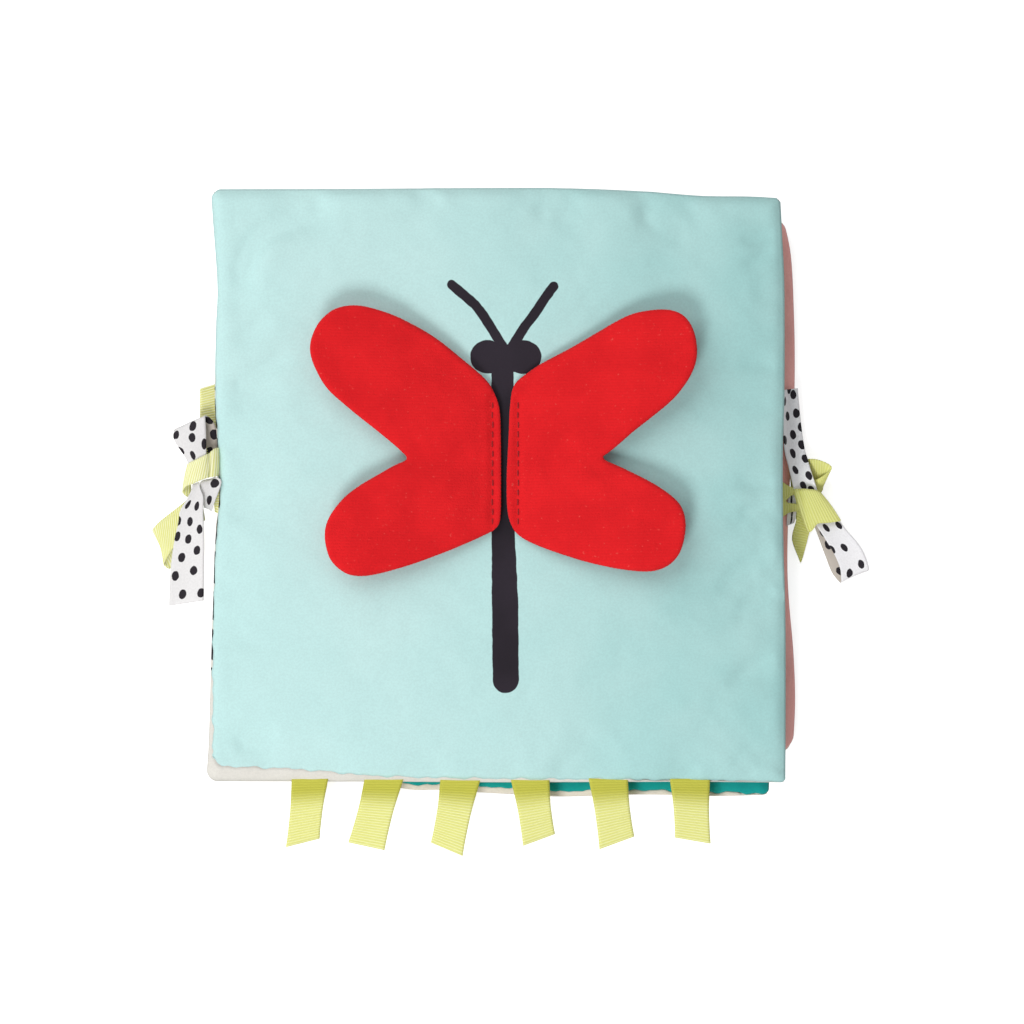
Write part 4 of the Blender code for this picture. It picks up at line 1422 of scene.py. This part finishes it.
LEFT_DOTTED_TAIL_DOTS = ((0, 1, (
    (197.3, 505.8), (187.8, 505), (190.2, 521.2), (178.6, 520.5), (199.3, 529.1), (177, 536),
    (188.8, 538.7),
    (198.1, 549.8), (181.9, 556.9), (193.8, 570.7), (175.1, 576.5), (183.7, 594.6), (201, 592.4),
)),)
LEFT_DOTTED_ROOT = (
    ((207, 479.5, 23.0), (201, 481.5, 23.8), (200, 487, 23.6), (202, 497, 22.8), (204.2, 507.6, 21.8)),
    (
        (215, 476.7, 23.2), (219.7, 478.7, 23.6), (221.5, 482, 23.7), (219.7, 489, 23.2),
        (215.5, 500, 22.0),
        (211.5, 511, 21.2),
    ),
)
LEFT_DOTTED_ROOT_DOTS = ((0, 1, ((215.5, 483.5), (208.9, 500.7))),)
LEFT_GREEN_ROOT = (
    ((214.5, 490, 21.6), (213.8, 500, 21.2), (215, 512, 20.6)),
    ((221, 488, 21.2), (220.8, 500, 20.9), (218, 513, 20.4)),
)
RIGHT_DOTTED_TAIL = (
    (
        (784.6, 390.2, 10.6), (783.4, 406.9, 10.3), (783.4, 426, 9.7), (784.6, 449.2, 9.2),
        (788.6, 466.7, 8.6),
        (793.3, 486.6, 7.6), (796, 496, 7.0),
    ),
    (
        (797.7, 388.2, 6.0), (799.3, 406.9, 5.2), (802.1, 432.4, 4.4), (805.3, 451.6, 5.2),
        (807.7, 458.7, 6.2),
        (810.9, 470.7, 8.0), (816.1, 486.6, 7.6), (818, 496, 7.2),
    ),
)
RIGHT_DOTTED_TAIL_DOTS = ((0, 1, (
    (792.9, 394.4), (784.6, 400.9), (788.6, 389.4), (787.5, 415.8), (796.5, 413.7), (800.9, 427.6),
    (793.2, 434.6),
    (785, 439.6), (802, 444.4), (792.4, 453.7), (805.1, 459.5), (795.2, 469.9), (809.1, 475.6),
    (802.9, 485.5),
    (811.5, 490.5),
)),)
RIGHT_GREEN_LOOP = (
    (
        (799, 486, 3.0), (793, 482, 3.2), (790.5, 476, 3.4), (792, 468, 3.6), (798, 462.4, 3.8),
        (806, 459.4, 4.8), (812, 458.9, 6.6), (818, 459.8, 8.0), (825, 462.3, 8.4), (830.5, 465.6, 8.4),
        (831.2, 469, 8.3), (826, 474, 7.8), (819, 478.3, 6.8), (812, 482, 5.0), (805, 487, 3.8),
    ),
    (
        (797, 520, 0.9), (793, 514, 0.8), (793, 506, 0.8), (797, 499, 0.8), (803, 493.5, 0.8),
        (809, 490, 0.8),
        (815, 487.6, 0.8), (819, 487, 0.8), (822, 488, 0.8), (822.4, 490, 0.8), (820, 494, 0.9),
        (816.5, 502, 1.0), (812.5, 510, 1.0), (808, 516, 1.0), (802, 521, 1.0),
    ),
)
RIGHT_KNOT = (
    (
        (796, 492, 5.0), (793.4, 489.6, 7.2), (797, 488.8, 8.5), (799.5, 488.8, 7.9), (803, 488.6, 8.9),
        (808, 489, 9.1), (815.6, 490, 8.9), (820.9, 493, 7.8), (819.5, 494, 5.8),
    ),
    (
        (811, 531, 4.2), (807.5, 529.8, 6.0), (808.4, 531.6, 7.8), (810.5, 532, 7.4), (813.5, 529, 8.4),
        (818, 523.8, 9.0), (829, 522.8, 9.0), (840.6, 520.8, 8.2), (836.5, 519, 5.6),
    ),
)
RIGHT_DOTTED_LOOP = (
    (
        (812, 518, 6.8), (815.6, 524, 7.2), (824.7, 538.1, 7.8), (834.7, 555, 7.4), (840, 568, 6.6),
        (841.2, 578, 5.6), (840.8, 582.5, 4.6), (837.7, 580.2, 3.4), (831.6, 571.8, 2.6),
        (825.5, 556.5, 2.2),
        (815.6, 529.7, 2.6), (812, 520, 3.2),
    ),
    (
        (834, 512, 6.6), (840.4, 521.7, 7.0), (846.9, 530.5, 7.8), (857.6, 542.7, 7.8), (863.8, 552.7, 7.4),
        (869.1, 567.2, 6.4), (868.4, 569.8, 5.4), (867, 570, 4.2), (862, 560, 3.0), (850, 541, 2.2),
        (838, 524, 2.4), (832, 514, 3.0),
    ),
)
RIGHT_DOTTED_LOOP_DOTS = (
    (0, 0.5, ((825.3, 528), (838.9, 524.8), (844.1, 547.3), (831.2, 550), (861.8, 563.4), (850, 573))),
    (0.5, 1, ((839.1, 572), (828, 545), (848, 556), (838, 540), (822, 533))),
)
RIGHT_GREEN_TAIL = (
    ((796, 500, 5.8), (796.4, 518.3, 4.6), (792.2, 535.1, 3.8), (793.4, 545, 3.4), (800.6, 562.6, 3.0)),
    ((808, 510, 6.2), (810.5, 526, 5.0), (808.7, 535.1, 4.4), (804.1, 552.7, 3.6), (801.2, 561.6, 3.0)),
)
RIGHT_GREEN_ROOTS = (
    (
        ((779, 480.5, 8.2), (782, 481.5, 8.0), (788, 485.5, 7.6), (795, 488.5, 7.2), (800, 489, 7.0)),
        ((779, 503, 7.2), (783, 502.5, 7.0), (787, 499.5, 6.8), (791, 495.6, 6.6), (798, 494, 6.6)),
    ),
    (
        ((780, 496, 7.6), (784, 498.5, 7.3), (788, 502.6, 6.9), (795, 503.6, 6.5), (800, 504, 6.4)),
        ((780, 517.5, 6.6), (783, 516.7, 6.2), (788, 513, 5.8), (794, 511.5, 5.6), (800, 511, 5.6)),
    ),
)
RIGHT_DOTTED_ROOT = (
    ((788, 490, 5.6), (787.5, 505, 5.2), (787, 516, 5.0), (786.5, 526, 4.6)),
    ((798, 492, 5.8), (797, 505, 5.4), (795.7, 518, 5.2), (794, 523, 5.0)),
)
# The first dot lies in the hollow between the bow's arms: a dark mark that is painted shade there; the
# others are the ribbon's print
RIGHT_DOTTED_ROOT_DOTS_AND_SHADE = ((0, 1, ((791.6, 499.5), (792.2, 513.5), (791.4, 520))),)


class Ties:
    """The ribbons of a bow."""

    def __init__(self, green, white):
        self.green, self.white = green, white

    def plain(self, name, node, edges, arch=TIE_ARCH, bends=False):
        made = Ribbon(*edges, GREEN_TIE_WIDTH, arch, True, step=RIBBED_STEP)
        obj = made.add(name, self.green, node.rsplit("_tie", 1)[0] + "_tie", "green_ribbon", bends)
        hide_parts(node)
        return obj, made

    # turned is the share of the ribbon's length past which its inside has painted shade
    def dotted(self, name, node, edges, dots, arch=TIE_ARCH, turned=2.0, dot=DOT_HALF_WIDTH, bends=False):
        made = Ribbon(*edges, DOTTED_TIE_WIDTH, arch)
        places = [made.on_flat(px, py, low, high) for low, high, row in dots for px, py in row]
        finish = dotted_ribbon_finish(name + "_ribbon", self.white, places, made.length * turned, dot)
        obj = made.add(name, finish, node.rsplit("_tie", 1)[0] + "_tie", "dotted_ribbon", bends)
        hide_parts(node)
        return obj, made


def make_left_tie(green):
    ties = Ties(green, LEFT_RIBBON_WHITE_PAINTED_SHADE)
    knot, _ = ties.plain("left_knot_band", "left_tie_knot", LEFT_KNOT, bends=True)
    root, _ = ties.plain("left_green_root", "left_tie_anchor", LEFT_GREEN_ROOT, bends=True)
    ties.plain("left_green_end", "left_tie_green_tail", LEFT_GREEN_END)
    ties.plain("left_green_loop", "left_tie_green_loop", LEFT_GREEN_LOOP)
    small, _ = ties.dotted(
        "left_dotted_root", "left_tie_anchor", LEFT_DOTTED_ROOT, LEFT_DOTTED_ROOT_DOTS,
        dot=WIDE_DOT_HALF_WIDTH, bends=True,
    )
    loop = ties.dotted(
        "left_dotted_loop", "left_tie_dotted_loop", LEFT_DOTTED_LOOP, LEFT_DOTTED_LOOP_DOTS, turned=0.5
    )
    tail = ties.dotted("left_dotted_end", "left_tie_dotted_tail", LEFT_DOTTED_TAIL, LEFT_DOTTED_TAIL_DOTS)


def make_right_tie(green):
    ties = Ties(green, RIGHT_RIBBON_WHITE_PAINTED_LIGHT)
    knot, _ = ties.plain("right_knot_band", "right_tie_knot", RIGHT_KNOT)
    roots = [
        ties.plain(f"right_green_root_{number}", "right_tie_anchor", edges, bends=True)[0]
        for number, edges in enumerate(RIGHT_GREEN_ROOTS, 1)
    ]
    tail, _ = ties.plain("right_green_end", "right_tie_green_tail", RIGHT_GREEN_TAIL)
    loop = ties.plain("right_green_loop", "right_tie_green_loop", RIGHT_GREEN_LOOP)
    small, _ = ties.dotted(
        "right_dotted_root", "right_tie_anchor", RIGHT_DOTTED_ROOT, RIGHT_DOTTED_ROOT_DOTS_AND_SHADE, bends=True
    )
    dotted_loop = ties.dotted(
        "right_dotted_loop", "right_tie_dotted_loop", RIGHT_DOTTED_LOOP, RIGHT_DOTTED_LOOP_DOTS, turned=0.5
    )
    dotted_tail = ties.dotted(
        "right_dotted_end", "right_tie_dotted_tail", RIGHT_DOTTED_TAIL, RIGHT_DOTTED_TAIL_DOTS,
        arch=TAIL_ARCH, dot=TAIL_DOT_HALF_WIDTH, bends=True,
    )


make_camera()
finishes = {
    "aqua": aqua_finish(), "striped": reverse_finish(),
    "teal": plain_cloth("teal_cloth", TEAL, "12a8a2"), "cream": plain_cloth("cream_cloth", CREAM, "f0e8dc"),
    "pink": plain_cloth("pink_cloth", PINK, "ffc2bb"),
    "cream_dots": dotted_cloth("dotted_cream_cloth", CREAM, TEAL, 0.016, 0.0045),
    "wadding": wadding_finish(), "film": film_finish(), "plush": plush_finish(), "thread": thread_finish(),
    "tags": grosgrain_finish("tag_grosgrain", GREEN_PALE, GREEN_PAINTED_SHADE, TAG_SHADE_UNTIL),
    # The ties' greens are one ribbon: the left is paler as painted light, the right deeper as painted shade,
    # as the light falls off to the right
    "left_green": grosgrain_finish("left_tie_grosgrain_painted_light", "f8f8d6", "f8f8d6", 0),
    "right_green": grosgrain_finish("right_tie_grosgrain_painted_shade", "eeee9c", "eeee9c", 0),
}
pages = make_pages(finishes)
make_fold(
    "front_fold_strip", 1, pages["front"], pages["middle"],
    "fold_right_cloth", plain_cloth("aqua_fold_cloth", AQUA, "cbe9e7"),
)
make_fold(
    "middle_fold_strip", -1, pages["middle"], pages["back"],
    "fold_left_cloth", plain_cloth("cream_fold_cloth", CREAM, "f0e8dc"),
)
make_wing("left_wing", -1, LEFT_WING, finishes["plush"], finishes["thread"])
make_wing("right_wing", 1, RIGHT_WING, finishes["plush"], finishes["thread"])
make_tags(finishes["tags"], pages["front"].seam)
make_left_tie(finishes["left_green"])
make_right_tie(finishes["right_green"])


# Floor, lamps and white surroundings


def make_stage():
    corners = [(x * FLOOR_SIZE, y * FLOOR_SIZE, 0) for x, y in ((-1, -1), (1, -1), (1, 1), (-1, 1))]
    floor = add_mesh("floor", corners, [(0, 1, 2, 3)], floor_finish())
    scene = bpy.context.scene
    scene.view_settings.view_transform = "Standard"
    world = bpy.data.worlds.new("surroundings")
    world.use_nodes = True
    scene.world = world
    tree = world.node_tree
    sky = tree.nodes["Background"]
    sky.inputs["Strength"].default_value = SKY_STRENGTH
    sky.inputs["Color"].default_value = (1, 1, 1, 1)
    white = tree.nodes.new("ShaderNodeBackground")
    white.inputs["Strength"].default_value = 1
    rays = tree.nodes.new("ShaderNodeLightPath")
    mix = tree.nodes.new("ShaderNodeMixShader")
    tree.links.new(rays.outputs["Is Camera Ray"], mix.inputs[0])
    tree.links.new(sky.outputs[0], mix.inputs[1])
    tree.links.new(white.outputs[0], mix.inputs[2])
    tree.links.new(mix.outputs[0], tree.nodes["World Output"].inputs[0])
    for name, place, size, power in (
        ("key", KEY_PLACE, KEY_SIZE, KEY_POWER), ("fill", FILL_PLACE, FILL_SIZE, FILL_POWER),
    ):
        lamp = bpy.data.objects.new(name, bpy.data.lights.new(name, "AREA"))
        lamp.data.shape = "DISK"
        lamp.data.size = size
        lamp.data.energy = power
        lamp.location = place
        lamp.rotation_mode = "QUATERNION"
        lamp.rotation_quaternion = Vector((-place[0], -place[1], -place[2])).to_track_quat("-Z", "Y")
        scene.collection.objects.link(lamp)


def floor_finish():
    """A pale floor that keeps the shadow; what the camera sees of it is lifted to white."""
    finish = Finish("floor", "e6e6e6", 0.9)
    finish.shader.inputs["Base Color"].default_value = (FLOOR_COLOUR, FLOOR_COLOUR, FLOOR_COLOUR, 1)
    finish.shader.inputs["Emission Color"].default_value = (1, 1, 1, 1)
    rays = finish.node("LightPath")
    finish.feed(
        finish.shader.inputs["Emission Strength"],
        finish.math("MULTIPLY", rays.outputs["Is Camera Ray"], FLOOR_GLOW),
    )
    return finish.material


make_stage()
